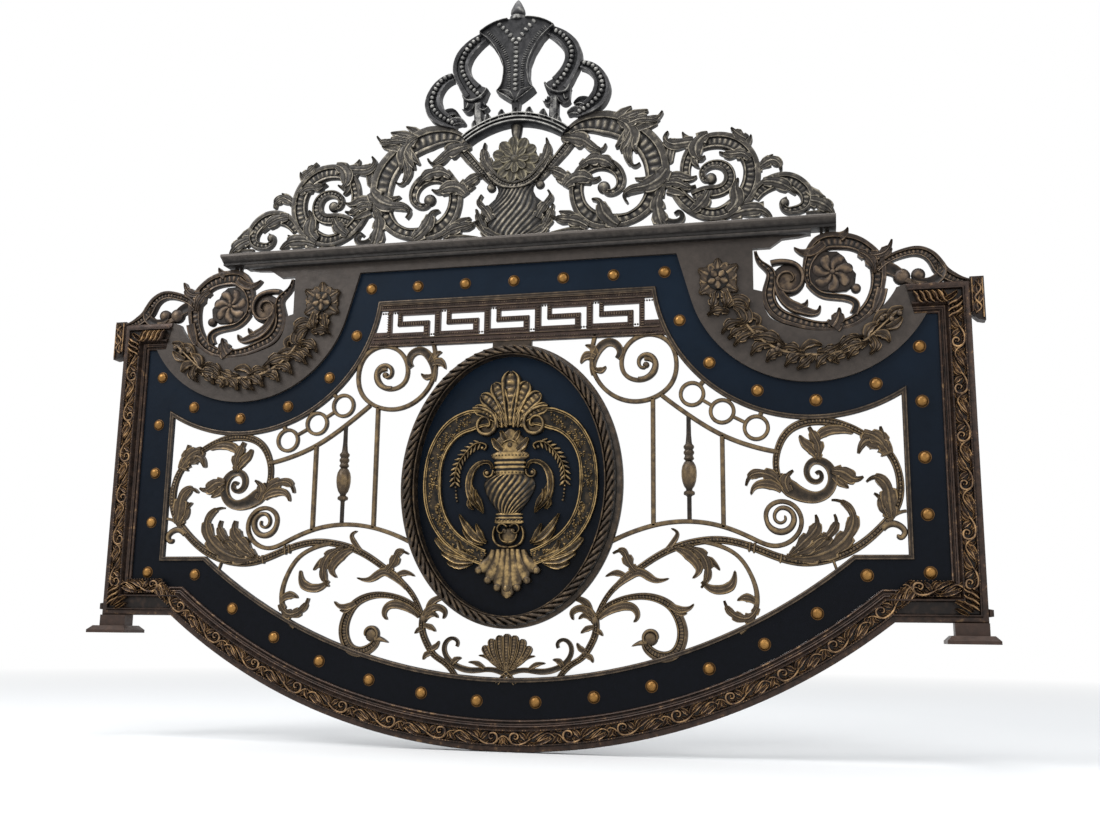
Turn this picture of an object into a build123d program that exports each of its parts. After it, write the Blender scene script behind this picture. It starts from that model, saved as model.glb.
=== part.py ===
from build123d import *
import os
from math import cos, radians, sin, sqrt

# An ornamental fence panel in cast and wrought metal: a moulded frame with a bowed bottom rail,
# a flat studded field around an opening, scrollwork with an oval medallion in the opening,
# and a cornice that carries a crest of scrolls and a crown.
# Millimetres. X runs along the panel, Z up, and the viewer stands on the -Y side.
# The drawing is centred on X = 0 and is moved at the end, so that the origin lies on the sole
# of the left foot. A depth is counted towards the viewer from the front face of the field.

# Moulded frame
foot_spacing = 2316
moulding_width = 80
moulding_back = -20
fillet_width = 24
fillet_front = 8
band_width = 40
band_front = 20
edge_front = 14
stile_top = 905
foot_height = 50
foot_plate_height = 20
foot_plate_width = 122
foot_plate_depth = 100
rail_end_slant = 18
short_rail_length = 76
bow_centre_height = 1305
rail_bow_radius = 1513
lug_length = 12
lug_height = 20
lug_level = 64
bracket_reach = 34
bracket_height = 115
bracket_top = 915
bracket_corner = 30

# Flat field and the rim of its opening
field_thickness = 8
field_side_width = 97
field_top_height = 100
field_foot_height = 85
opening_top = 925
field_bow_width = 106
shoulder_from_side = 215
shoulder_height = 984
shoulder_opening_radius = 424
rim_width = 13
rim_rise = 6

# Shoulder plates, frieze board and cornice
shoulder_plate_radius = 326
shoulder_plate_front = 10
board_half_width = 455
board_height = 29
cornice_past_shoulder = 69
bed_mould_past_shoulder = 4
bed_mould_height = 9
bed_mould_front = 30
cornice_height = 37
cornice_lip = 12
cornice_front = 60
fascia_front = 38
fascia_thickness = 6
soffit_recess = 9

# Infill
infill_front = 4
bar_width = 12
frieze_height = 123
frieze_unit_pitch = 145
frieze_units = 5
oval_ring_at_sides = 47
oval_ring_at_ends = 34
oval_slope = 18
oval_base_front = 10
oval_front = 40
saddle_half_width = 55
oval_plate_thickness = 6
cartouche_centre_height = 398
cartouche_half_width = 237
cartouche_half_height = 223
cartouche_band = 42
relief_height = 14

# Crest and crown
crest_back = -8
crest_front = 10
crest_height = 347
crown_height = 323
finial_height = 68
rosette_rise = 8
crown_back = -14
crown_front = 30

# Places worked out from the sizes
stile_inside = foot_spacing / 2 - moulding_width / 2
stile_outside = stile_inside + moulding_width
rail_end_from_centre = stile_inside - short_rail_length
rail_top_of_bottom = foot_height + moulding_width
rail_foot_of_top = stile_top - moulding_width
opening_half_width = stile_inside - field_side_width
opening_corner_height = rail_top_of_bottom + field_foot_height
opening_bow_radius = rail_bow_radius - field_bow_width
opening_bottom = bow_centre_height - opening_bow_radius
shoulder_from_centre = opening_half_width - shoulder_from_side
field_back = -field_thickness
infill_back = field_back
field_top = opening_top + field_top_height
cornice_underside = field_top + board_height
fascia_foot = cornice_underside + bed_mould_height
soffit = fascia_foot + soffit_recess
cornice_top = cornice_underside + cornice_height
bed_mould_half_length = shoulder_from_centre + bed_mould_past_shoulder
cornice_half_length = shoulder_from_centre + cornice_past_shoulder
crown_base = cornice_top + crest_height


class Art:
    """Ornament drawn from a base point at one size, and stretched to the real place and size."""

    def __init__(self, drawn, real):
        self.drawn_x, self.drawn_z, drawn_width, drawn_height = drawn
        self.real_x, self.real_z, real_width, real_height = real
        self.stretch = real_width / drawn_width
        self.rise = real_height / drawn_height

    def at(self, x, z):
        return (self.real_x + (x - self.drawn_x) * self.stretch,
                self.real_z + (z - self.drawn_z) * self.rise)

    def bar(self, points, *widths):
        return bar([self.at(*p) for p in points], *[width * self.stretch for width in widths])

    def bars(self, strokes):
        return [self.bar(points, *widths) for points, widths in strokes]

    def disc(self, x, z, radius):
        return disc(self.at(x, z), radius * self.stretch)

    def patch(self, *corners):
        return patch(*[self.at(*corner) for corner in corners])


# Each drawing: base point, width and height as drawn, then the same in the real panel
infill_art = Art((0, -102, 1021, 1027),
                 (0, opening_bottom, opening_half_width, opening_top - opening_bottom))
crest_art = Art((0, 1095, 875, 348), (0, cornice_top, cornice_half_length, crest_height))
crown_art = Art((0, 1452, 884, 326), (0, crown_base, cornice_half_length, crown_height))
shoulder_art = Art((806, 987, 327, 327), (shoulder_from_centre, shoulder_height,
                                          shoulder_plate_radius, shoulder_plate_radius))
oval_centre_height = infill_art.at(0, 408)[1]
oval_half_width = 309 * infill_art.stretch
oval_half_height = 385 * infill_art.rise


def bar(points, *widths):
    """A flat bar along a smooth line, whose width changes evenly from each width to the next."""
    if len(points) == 2:
        spine = Line(*points)
        steps = 1
    else:
        spine = Spline(*points)
        steps = 3 * len(points)
    one_side = []
    other_side = []
    for step in range(steps + 1):
        place = step / steps
        stage = min(int(place * (len(widths) - 1)), len(widths) - 2) if len(widths) > 1 else 0
        if len(widths) > 1:
            share = place * (len(widths) - 1) - stage
            width = widths[stage] * (1 - share) + widths[stage + 1] * share
        else:
            width = widths[0]
        across = (spine % place).rotate(Axis.Z, 90) * (width / 2)
        one_side.append(spine @ place + across)
        other_side.append(spine @ place - across)
    other_side.reverse()
    if steps == 1:
        sides = [Line(*one_side), Line(*other_side)]
    else:
        sides = [Spline(*one_side), Spline(*other_side)]
    ends = [Line(one_side[-1], other_side[0]), Line(other_side[-1], one_side[0])]
    return make_face([sides[0], ends[0], sides[1], ends[1]])


def disc(place, radius):
    return Pos(place[0], place[1]) * Circle(radius)


def hoop(place, radius, width):
    return disc(place, radius) - disc(place, radius - width)


def patch(*corners):
    """A flat shape with straight sides."""
    return make_face(Polyline(*corners, close=True))


def block(x_low, x_high, z_low, z_high):
    return patch((x_low, z_low), (x_high, z_low), (x_high, z_high), (x_low, z_high))


def both_sides(points):
    """The points, then their mirror images in the opposite order."""
    return list(points) + [(-x, z) for x, z in reversed(points)]


def fuse(*shapes):
    first, *others = shapes
    return first + others


def plate(shape, back, front):
    """A shape drawn in the plane of the panel, given its depth."""
    return extrude(Plane.XZ.offset(back) * shape, amount=front - back)


def mirrored(shape):
    return mirror(shape, about=Plane.YZ)


def bow_half_width(radius, height):
    """Half the width of a circle about the bow's centre, at a height."""
    return sqrt(radius**2 - (bow_centre_height - height) ** 2)


def tray(step, top):
    """The area above the bottom rail's inner edge, grown by a step, up to a level top."""
    radius = rail_bow_radius + step
    level = rail_top_of_bottom - step
    kink = bow_half_width(radius, level)
    low = bow_centre_height - radius
    sides = Polyline((kink, level), (stile_inside, level), (stile_inside, top),
                     (-stile_inside, top), (-stile_inside, level), (-kink, level))
    return make_face([sides, ThreePointArc((-kink, level), (0, low), (kink, level))])


def moulding(strip):
    """A moulded length: a plain fillet inside, an ornament band, and an outer edge."""
    band_end = fillet_width + band_width
    return fuse(plate(strip(0, moulding_width), moulding_back, fillet_front),
                plate(strip(fillet_width, band_end), fillet_front, band_front),
                plate(strip(band_end, moulding_width), fillet_front, edge_front))


def stile():
    def strip(inner, outer):
        return block(stile_inside + inner, stile_inside + outer, foot_height, stile_top)

    lug = block(stile_outside, stile_outside + lug_length, lug_level, lug_level + lug_height)
    return moulding(strip) + plate(lug, -lug_height / 2, lug_height / 2)


def bottom_rail():
    def strip(inner, outer):
        top = rail_top_of_bottom + moulding_width
        return tray(outer, top) - tray(inner, top)

    return moulding(strip)


def rail_end(height):
    """Where the slanted end of the short top rail lies, at a height."""
    share = (stile_top - height) / moulding_width
    return rail_end_from_centre + rail_end_slant * share


def top_rail():
    def strip(inner, outer):
        low = rail_foot_of_top + inner
        high = rail_foot_of_top + outer
        return patch((rail_end(low), low), (stile_inside, low),
                     (stile_inside, high), (rail_end(high), high))

    return moulding(strip)


def foot():
    """A stub under the stile, on a flared base plate."""
    middle = foot_spacing / 2
    depth = band_front - moulding_back
    centre = (band_front + moulding_back) / 2
    stub_height = foot_height - foot_plate_height
    stub = Pos(middle, -centre, foot_plate_height + stub_height / 2) * Box(
        moulding_width, depth, stub_height)
    base = Pos(middle, -centre, foot_plate_height / 2) * Box(
        foot_plate_width, foot_plate_depth, foot_plate_height)
    base = chamfer(base.faces().sort_by(Axis.Z)[-1].edges(), foot_plate_height * 0.6)
    return stub + base


def wall_bracket():
    """A bracket from the top of the stile to the wall, its lower corner rounded."""
    wall = stile_outside + bracket_reach
    low = bracket_top - bracket_height
    corner = bracket_corner
    bulge = corner * (1 - cos(radians(45)))
    sides = Polyline((stile_outside, low + corner), (stile_outside, bracket_top),
                     (wall, bracket_top), (wall, low), (stile_outside + corner, low))
    round_corner = ThreePointArc((stile_outside + corner, low),
                                 (stile_outside + bulge, low + bulge),
                                 (stile_outside, low + corner))
    return plate(make_face([sides, round_corner]), moulding_back, band_front)


def opening(step):
    """The opening in the field, grown by a step on every side."""
    half_width = opening_half_width + step
    low = opening_corner_height - step
    radius = opening_bow_radius + step
    kink = bow_half_width(radius, low)
    sides = Polyline((kink, low), (half_width, low), (half_width, opening_top + step),
                     (-half_width, opening_top + step), (-half_width, low), (-kink, low))
    bow = ThreePointArc((-kink, low), (0, bow_centre_height - radius), (kink, low))
    shoulders = [disc((side * shoulder_from_centre, shoulder_height),
                      shoulder_opening_radius - step) for side in (-1, 1)]
    return make_face([sides, bow]) - shoulders


def shoulder_arc_point(angle):
    """A point of the shoulder plate's lower edge, at an angle from straight down."""
    return (shoulder_from_centre + shoulder_plate_radius * sin(radians(angle)),
            shoulder_height - shoulder_plate_radius * cos(radians(angle)))


def shoulder_drawing():
    """The plate over one shoulder: a round lower edge, and a bowl for the scroll above."""
    reach = sqrt(shoulder_plate_radius**2 - (shoulder_height - rail_foot_of_top) ** 2)
    arc_start = (shoulder_from_centre + reach, rail_foot_of_top)
    arc_end = shoulder_arc_point(-75)
    drawn_bowl = [(657, 915), (681, 908), (684, 870), (701, 835), (742, 813), (800, 797),
                  (850, 794), (900, 800), (945, 822), (984, 852), (1020, 900)]
    bowl = [shoulder_art.at(*p) for p in drawn_bowl]
    edges = [
        Polyline(bowl[-1], (rail_end_from_centre, stile_top),
                 (rail_end(rail_foot_of_top), rail_foot_of_top), arc_start),
        ThreePointArc(arc_start, shoulder_arc_point(0), arc_end),
        Polyline(arc_end, (board_half_width, field_top), (board_half_width, cornice_underside),
                 (shoulder_from_centre - 6, cornice_underside),
                 (shoulder_from_centre - 28, cornice_underside - 4),
                 (shoulder_from_centre - 71, cornice_underside - 7),
                 (shoulder_from_centre - 103, field_top), (bowl[0][0], field_top),
                 bowl[0], bowl[1]),
        Spline(*bowl[1:]),
    ]
    return make_face(edges)


def field_drawing():
    """The whole studded field, between the frame, the shoulder plates and the opening."""
    arc_end = shoulder_arc_point(-75)
    upper = patch(*both_sides([(board_half_width, field_top), arc_end,
                               (shoulder_from_centre - shoulder_plate_radius * 0.6,
                                rail_foot_of_top)]))
    right = shoulder_drawing()
    whole = tray(0, rail_foot_of_top) + upper
    bowls = [disc((side * shoulder_from_centre, shoulder_height), shoulder_plate_radius)
             for side in (-1, 1)]
    return whole - [right, mirrored(right), opening(0), *bowls]


def lengthwise(half_length, *profile):
    """A profile, given as depth and height, that runs along the panel."""
    face = make_face(Polyline(*[(-depth, height) for depth, height in profile], close=True))
    return Pos(-half_length, 0, 0) * extrude(Plane.YZ * face, amount=2 * half_length)


def cornice():
    """The cornice: a projecting lip over a fascia, and a shorter bed mould under them."""
    lip_foot = cornice_top - cornice_lip
    behind_fascia = fascia_front - fascia_thickness
    upper = lengthwise(cornice_half_length, (field_back, soffit), (behind_fascia, soffit),
                       (behind_fascia, fascia_foot), (fascia_front, fascia_foot),
                       (cornice_front, lip_foot), (cornice_front, cornice_top),
                       (field_back, cornice_top))
    bed = lengthwise(bed_mould_half_length, (field_back, cornice_underside),
                     (bed_mould_front, cornice_underside), (behind_fascia, fascia_foot),
                     (behind_fascia, soffit), (field_back, soffit))
    return upper + bed


def frieze_drawing():
    """A board pierced with a running key pattern, between two rails."""
    foot = opening_top - frieze_height
    half_pattern = frieze_unit_pitch * frieze_units / 2
    board = block(-opening_half_width, opening_half_width, foot, opening_top)
    slots = []
    for unit in range(frieze_units):
        start = -half_pattern + unit * frieze_unit_pitch + 7
        slots += [block(start, start + 18, foot + 40, opening_top - 20),
                  block(start, start + 96, foot + 40, foot + 59),
                  block(start + 30, start + 128, foot + 73, foot + 91),
                  block(start + 112, start + 128, foot + 26, foot + 91)]
    for side in (-1, 1):
        inner = side * (half_pattern + 4)
        outer = side * opening_half_width
        slots.append(block(min(inner, outer), max(inner, outer), foot + 43, opening_top - 17))
    return (board & opening(0)) - slots


def oval(side_step, end_step):
    """The oval of the medallion, made smaller at its sides and at its ends."""
    return Pos(0, oval_centre_height) * Ellipse(oval_half_width - side_step,
                                                oval_half_height - end_step)


def oval_rim():
    """The deep ring of the medallion, with a saddle that hangs it from the frieze."""
    window = oval(oval_ring_at_sides, oval_ring_at_ends)
    frieze_foot = opening_top - frieze_height
    saddle = block(-saddle_half_width, saddle_half_width, oval_centre_height, frieze_foot)
    base = (oval(0, 0) + saddle) - window
    raised = oval(oval_slope, oval_slope * oval_ring_at_ends / oval_ring_at_sides) - window
    return fuse(plate(base, field_back, oval_base_front),
                plate(raised, oval_base_front, oval_front))


def cartouche_drawing():
    """An oval band, open at the top and the foot, with two volutes at its top."""
    centre = Pos(0, cartouche_centre_height)
    ring = centre * Ellipse(cartouche_half_width, cartouche_half_height)
    ring -= centre * Ellipse(cartouche_half_width - cartouche_band,
                             cartouche_half_height - cartouche_band)
    top_gap = block(-68, 68, cartouche_centre_height, cartouche_centre_height * 2)
    foot_gap = block(-54, 54, 0, cartouche_centre_height)
    volutes = [disc((side * 68, cartouche_centre_height + 175), 30) for side in (-1, 1)]
    return (ring - [top_gap, foot_gap]) + volutes


def urn_drawing():
    """The urn in the medallion, between a palmette above and a fan of ribs below."""
    half = [(0, 725), (28, 722), (60, 700), (92, 655), (38, 590), (44, 505), (52, 460),
            (46, 432), (74, 405), (60, 365), (30, 335), (38, 303), (42, 262), (48, 228),
            (88, 185), (62, 156), (34, 138), (0, 104)]
    other_half = [(-x, z) for x, z in reversed(half[1:-1])]
    return patch(*half, *other_half) - cartouche_drawing()


def volute_drawing():
    """The volute between the frieze and the oval, ending in a round bud."""
    line = [(232, 812), (223, 770), (222, 735), (237, 688), (276, 645), (330, 624),
            (395, 634), (437, 668), (451, 730), (428, 785), (377, 806), (326, 785),
            (304, 738), (312, 700), (349, 681), (388, 698), (392, 728), (366, 740)]
    upright = [(245, 740), (262, 765), (246, 790), (222, 815)]
    hook = [(236, 760), (262, 786), (300, 772), (292, 745)]
    shapes = [infill_art.bar(line, bar_width),
              infill_art.bar(upright, 8, 22, 10),
              infill_art.bar(hook, 18, 16, 4),
              infill_art.disc(360, 726, 15)]
    return fuse(*shapes)


def leaf_scroll_stem():
    """The long stem that rises from the foot of the oval and turns over at the side."""
    line = [(240, 60), (275, 120), (343, 177), (427, 228), (506, 251), (559, 254), (638, 236),
            (717, 206), (770, 197), (830, 205), (900, 235), (960, 285), (1000, 340),
            (1008, 400), (996, 450), (965, 492)]
    calyx = [(985, 462), (962, 500), (925, 515), (905, 492)]
    arch = [(930, 516), (870, 546), (800, 556), (740, 534), (712, 490), (706, 430), (718, 396)]
    return [infill_art.bar(line, 12, 17, 20, 20, 22, 22, 20, 18),
            infill_art.bar(calyx, 22, 44, 40, 14),
            infill_art.bar(arch, 16, 22, 22, 18, 16)]


def leaf_scroll_volute():
    """The volute inside the arch, with the leaves around it."""
    line = [(700, 425), (722, 395), (758, 370), (800, 361), (836, 384), (846, 424),
            (822, 455), (788, 446), (780, 412), (800, 396), (818, 410)]
    leaves = [
        ([(722, 405), (690, 424), (652, 416), (630, 382)], (16, 22, 18, 3)),
        ([(735, 385), (695, 400), (658, 392), (640, 366)], (14, 18, 12, 3)),
        ([(842, 448), (862, 436), (888, 424), (920, 410)], (10, 34, 26, 3)),
        ([(848, 420), (866, 402), (888, 384)], (12, 18, 3)),
        ([(806, 452), (798, 478), (784, 505), (802, 536)], (8, 14, 20, 16)),
        ([(800, 478), (820, 508), (858, 528), (900, 524)], (8, 22, 22, 12)),
    ]
    shapes = [infill_art.bar(line, 16, 26, 26, 22, 16, 12, 9)]
    return shapes + infill_art.bars(leaves)


def leaf_scroll_leaves():
    """The broad leaf low on the stem, the leaf inside the turn, and the small hooks."""
    leaves = [
        ([(712, 214), (800, 216), (866, 240), (896, 292), (888, 338), (850, 353)],
         (10, 26, 28, 18, 4)),
        ([(730, 222), (796, 240), (838, 272), (846, 306), (826, 308)], (14, 28, 20, 4)),
        ([(712, 218), (770, 240), (804, 276), (800, 304)], (12, 28, 20, 4)),
        ([(996, 326), (968, 336), (950, 368), (930, 405)], (16, 30, 22, 3)),
        ([(1004, 350), (980, 364), (966, 390), (968, 414)], (14, 24, 16, 3)),
        ([(960, 276), (990, 297), (1010, 286), (1010, 268), (994, 266)], (12, 9, 6)),
        ([(976, 300), (1000, 318), (1030, 326)], (12, 8)),
        ([(838, 208), (845, 185), (862, 150)], (8, 7)),
        ([(420, 226), (440, 250), (450, 272), (434, 284)], (14, 10, 4)),
        ([(340, 176), (322, 200), (308, 226), (282, 220)], (18, 28, 16, 4)),
        ([(318, 156), (300, 168), (262, 160)], (14, 12, 4)),
        ([(285, 128), (315, 156), (352, 172), (390, 152), (428, 156)], (12, 20, 16, 3)),
        ([(446, 232), (490, 206), (505, 180), (488, 156)], (12, 22, 16, 4)),
        ([(470, 238), (520, 206), (528, 168), (510, 132)], (12, 24, 20, 4)),
        ([(500, 210), (540, 196), (558, 176)], (10, 14, 4)),
        ([(512, 148), (545, 128), (580, 134), (596, 176)], (10, 16, 20, 4)),
        ([(510, 250), (560, 238), (600, 216), (636, 165), (650, 110), (640, 62), (606, 20)],
         (12, 11, 11, 14, 12)),
        ([(650, 84), (624, 56), (590, 66), (568, 100)], (18, 22, 18, 5)),
        ([(648, 96), (622, 108), (600, 100)], (16, 20, 5)),
    ]
    return infill_art.bars(leaves)


def leaf_scroll_drawing():
    return fuse(*leaf_scroll_stem(), *leaf_scroll_volute(), *leaf_scroll_leaves())


def spray_drawing():
    """The low scroll beside the foot of the oval, which curls round a ball with a beak."""
    leaves = [
        ([(236, 50), (262, 84), (300, 106), (348, 112), (401, 103), (441, 70), (456, 25),
          (448, -12), (417, -33), (385, -24), (368, -4)], (10, 16, 19, 19, 18, 14)),
        ([(372, -10), (352, -13), (330, -12)], (18, 4)),
        ([(436, 78), (462, 82), (488, 105)], (18, 12, 4)),
        ([(246, 58), (290, 84), (330, 84), (345, 62), (332, 42)], (8, 20, 18, 4)),
        ([(232, 50), (212, 74), (186, 78), (166, 60), (180, 44)], (16, 14, 10, 5)),
        ([(222, 64), (210, 96), (180, 106), (150, 96)], (16, 16, 8)),
        ([(232, 52), (226, 10), (208, -36), (178, -64), (140, -100)], (16, 14, 13, 14)),
        ([(226, 10), (204, 6), (190, 18)], (12, 12, 4)),
        ([(232, 24), (256, 8)], (10, 4)),
    ]
    shapes = infill_art.bars(leaves)
    return fuse(*shapes, infill_art.disc(232, 48, 13), infill_art.disc(377, 6, 22))


def shell_drawing():
    """A shell fan over crossed ribbons, with a small volute on each side."""
    fan = [(0, 9), (14, 8), (30, 1), (44, -10), (53, -30), (14, -82)]
    outline = fan + [(-x, z) for x, z in reversed(fan[1:])]
    shapes = [infill_art.patch(*outline)]
    for side in (-1, 1):
        leaves = [
            ([(4, -92), (40, -75), (84, -78), (139, -68), (166, -46), (172, -22), (158, -8),
              (140, -8), (138, -20)], (16, 14, 12, 8)),
            ([(6, -88), (-12, -102), (-24, -118)], (12, 10)),
            ([(16, -78), (44, -54), (76, -46)], (8, 14, 4)),
            ([(30, -74), (60, -64), (76, -58)], (8, 10, 4)),
        ]
        shapes += [infill_art.bar([(side * x, z) for x, z in points], *widths)
                   for points, widths in leaves]
    return fuse(*shapes)


def ring_chain_drawing():
    """Three rings in a row under the shoulder, linked to each other and to the rim."""
    centres = [infill_art.at(492, 638), infill_art.at(570, 589), infill_art.at(657, 543)]
    radius = 35
    shoulder = (shoulder_from_centre, shoulder_height)
    shapes = [hoop(centre, radius, 10) for centre in centres]
    shapes += [bar([first, second], 9) - [disc(first, radius - 5), disc(second, radius - 5)]
               for first, second in zip(centres, centres[1:])]
    shapes += [bar([centre, shoulder], 12) - disc(centre, radius - 5) for centre in centres]
    return fuse(*shapes)


def grille_drawing():
    """The sweep bar, the arch bar with its volute, and the two plain uprights."""
    sweep = [(412, 637), (465, 595), (568, 527), (645, 495), (712, 478)]
    arch = [(270, 248), (345, 280), (400, 295), (480, 302), (560, 290), (640, 258), (697, 238),
            (742, 254), (765, 298), (746, 340), (708, 350), (678, 328), (678, 298), (700, 278),
            (726, 286), (736, 310), (720, 326)]
    shapes = [infill_art.bar(sweep, bar_width),
              infill_art.bar(arch, bar_width, bar_width, 14, 12, 9)]
    uprights = [(388, 292, 630), (569, 286, 526)]
    shapes += [infill_art.bar([(x, low), (x, high)], bar_width)
               for x, low, high in uprights]
    return fuse(*shapes)


def baluster():
    """A turned baluster between the arch bar and the sweep bar."""
    outline = [(6, 302), (6, 368), (14, 372), (14, 380), (8, 386), (16, 396), (20, 420),
               (18, 446), (9, 460), (14, 466), (11, 474), (14, 482), (11, 490), (14, 498),
               (8, 512), (6, 560), (6, 583)]
    places = [(radius, infill_art.at(0, height)[1]) for radius, height in outline]
    half = make_face(Polyline((0, places[0][1]), *places, (0, places[-1][1]), close=True))
    middle = (infill_front + infill_back) / 2
    return Pos(infill_art.at(482, 0)[0], -middle, 0) * revolve(Plane.XZ * half, Axis.Z)


def inner_crest_drawing():
    """The large scroll of the crest, its inner ring, and its leaves."""
    leaves = [
        ([(128, 1408), (180, 1446), (250, 1452), (330, 1436), (392, 1388), (426, 1320),
          (428, 1250), (402, 1180), (350, 1125), (280, 1098), (212, 1106), (166, 1150),
          (150, 1215), (168, 1280), (218, 1320), (274, 1308), (312, 1268), (314, 1218),
          (288, 1185), (250, 1182), (228, 1208), (238, 1238)],
         (12, 24, 28, 28, 28, 26, 22, 20, 18, 14, 10)),
        ([(320, 1430), (335, 1450), (330, 1468)], (20, 14, 4)),
        ([(350, 1412), (375, 1425), (376, 1448)], (22, 16, 4)),
        ([(380, 1390), (410, 1405), (416, 1437)], (22, 16, 4)),
        ([(200, 1440), (216, 1400), (226, 1370), (257, 1350)], (26, 26, 18, 4)),
        ([(290, 1436), (310, 1380), (330, 1330), (345, 1287)], (28, 34, 24, 4)),
        ([(425, 1280), (390, 1256), (345, 1245)], (34, 24, 4)),
        ([(380, 1150), (345, 1160), (310, 1182)], (34, 22, 4)),
        ([(160, 1165), (196, 1180), (226, 1203)], (30, 22, 4)),
        ([(156, 1262), (130, 1280), (112, 1300)], (24, 16, 4)),
        ([(86, 1090), (108, 1130), (130, 1160), (160, 1180)], (20, 34, 26, 8)),
        ([(186, 1440), (160, 1385), (126, 1366), (98, 1340), (84, 1312)], (14, 14, 12, 8)),
        ([(405, 1190), (430, 1160), (452, 1135), (442, 1110), (420, 1090)], (20, 14, 12)),
        ([(380, 1090), (455, 1130), (500, 1168)], (16, 26, 14)),
    ]
    return fuse(*crest_art.bars(leaves))


def outer_crest_drawing():
    """The middle scroll and the low end scroll of the crest, joined by leaves."""
    leaves = [
        ([(428, 1345), (470, 1362), (520, 1366), (580, 1358), (642, 1330), (682, 1278),
          (684, 1218), (652, 1158), (600, 1126), (545, 1128), (502, 1160), (490, 1210),
          (506, 1262), (540, 1296), (580, 1298), (608, 1268), (602, 1232), (572, 1220),
          (550, 1238)], (10, 22, 24, 26, 26, 24, 20, 16, 10)),
        ([(445, 1350), (440, 1366), (434, 1380)], (14, 4)),
        ([(470, 1360), (474, 1372), (470, 1384)], (14, 4)),
        ([(590, 1350), (606, 1362), (613, 1378)], (20, 4)),
        ([(630, 1334), (650, 1340), (662, 1354)], (20, 4)),
        ([(424, 1236), (460, 1206), (500, 1200)], (20, 34, 12)),
        ([(620, 1140), (660, 1116), (700, 1110), (720, 1090)], (22, 30, 24)),
        ([(668, 1270), (704, 1262), (740, 1246), (790, 1226), (818, 1180), (800, 1130),
          (756, 1112), (718, 1132), (712, 1172), (738, 1196), (768, 1184), (770, 1158)],
         (14, 20, 22, 20, 16, 10)),
        ([(805, 1205), (828, 1186), (842, 1160)], (20, 16, 4)),
        ([(808, 1150), (840, 1150), (868, 1130)], (20, 18, 4)),
        ([(640, 1150), (676, 1165), (716, 1150)], (14, 24, 10)),
        ([(560, 1130), (580, 1110), (600, 1090)], (22, 30)),
    ]
    return fuse(*crest_art.bars(leaves))


def crest_urn_drawing():
    """The urn on the cornice, with a crescent bowl on it and a stem to the crown."""
    body = [(95, 1098), (95, 1130), (78, 1140), (106, 1165), (100, 1190), (60, 1225),
            (48, 1250), (56, 1262)]
    outline = body + [(-x, z) for x, z in reversed(body)]
    shapes = [crest_art.patch(*outline)]
    bowl = [(-97, 1350), (-62, 1290), (0, 1264), (62, 1290), (97, 1350)]
    shapes.append(crest_art.bar(bowl, 8, 30, 44, 30, 8))
    for side in (-1, 1):
        leaves = [([(70, 1296), (98, 1340), (90, 1395)], (16, 26, 4)),
                  ([(90, 1180), (108, 1210), (98, 1238)], (18, 16, 4))]
        shapes += [crest_art.bar([(side * x, z) for x, z in points], *widths)
                   for points, widths in leaves]
        shapes.append(crest_art.disc(side * 70, 1274, 13))
    shapes.append(crest_art.bar([(0, 1255), (0, 1449)], 30))
    return fuse(*shapes)


def rosette():
    """An eight-petalled rosette on the stem of the urn, with a boss."""
    centre = crest_art.at(0, 1337)
    petals = [disc((centre[0] + 40 * cos(radians(45 * turn)),
                    centre[1] + 40 * sin(radians(45 * turn))), 18) for turn in range(8)]
    petal_front = crest_front + rosette_rise
    flower = plate(fuse(disc(centre, 42), *petals), crest_front, petal_front)
    boss = plate(disc(centre, 14), petal_front, petal_front + rosette_rise / 2)
    return flower + boss


def crown_band_drawing():
    """The bowed band at the foot of the crown."""
    line = [(-137, 1426), (-72, 1458), (0, 1469), (72, 1458), (137, 1426)]
    return crown_art.bar(line, 30, 34, 30)


def crown_centre_arch_drawing():
    half = [(0, 1468), (12, 1530), (57, 1553), (40, 1584), (35, 1610), (52, 1680),
            (110, 1735), (60, 1765), (20, 1775)]
    outline = half + [(-x, z) for x, z in reversed(half[1:])]
    return crown_art.patch(*outline)


def crown_inner_arch_drawing():
    arch = [(96, 1720), (140, 1698), (167, 1645), (158, 1600), (128, 1552)]
    foot = [(78, 1553), (98, 1516), (148, 1503), (160, 1545), (140, 1580), (98, 1574)]
    return fuse(crown_art.bar(arch, 30, 46, 52, 50, 50), crown_art.patch(*foot),
                crown_art.bar([(120, 1512), (112, 1440)], 26))


def crown_outer_arch_drawing():
    line = [(186, 1618), (228, 1602), (248, 1550), (234, 1498), (206, 1476)]
    return crown_art.bar(line, 26, 42, 50, 46)


def crown_finial():
    """The turned finial on the crown."""
    top_of_arch = crown_art.at(0, 1775)[1]
    shares = [(20, 0), (24, 0.06), (24, 0.18), (16, 0.25), (22, 0.38), (14, 0.7), (4, 1)]
    profile = [(radius, share * finial_height) for radius, share in shares]
    half = make_face(Polyline((0, top_of_arch),
                              *[(radius, top_of_arch + height) for radius, height in profile],
                              (0, top_of_arch + profile[-1][1]), close=True))
    middle = (crown_front + crown_back) / 2
    return Pos(0, -middle, 0) * revolve(Plane.XZ * half, Axis.Z)


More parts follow.
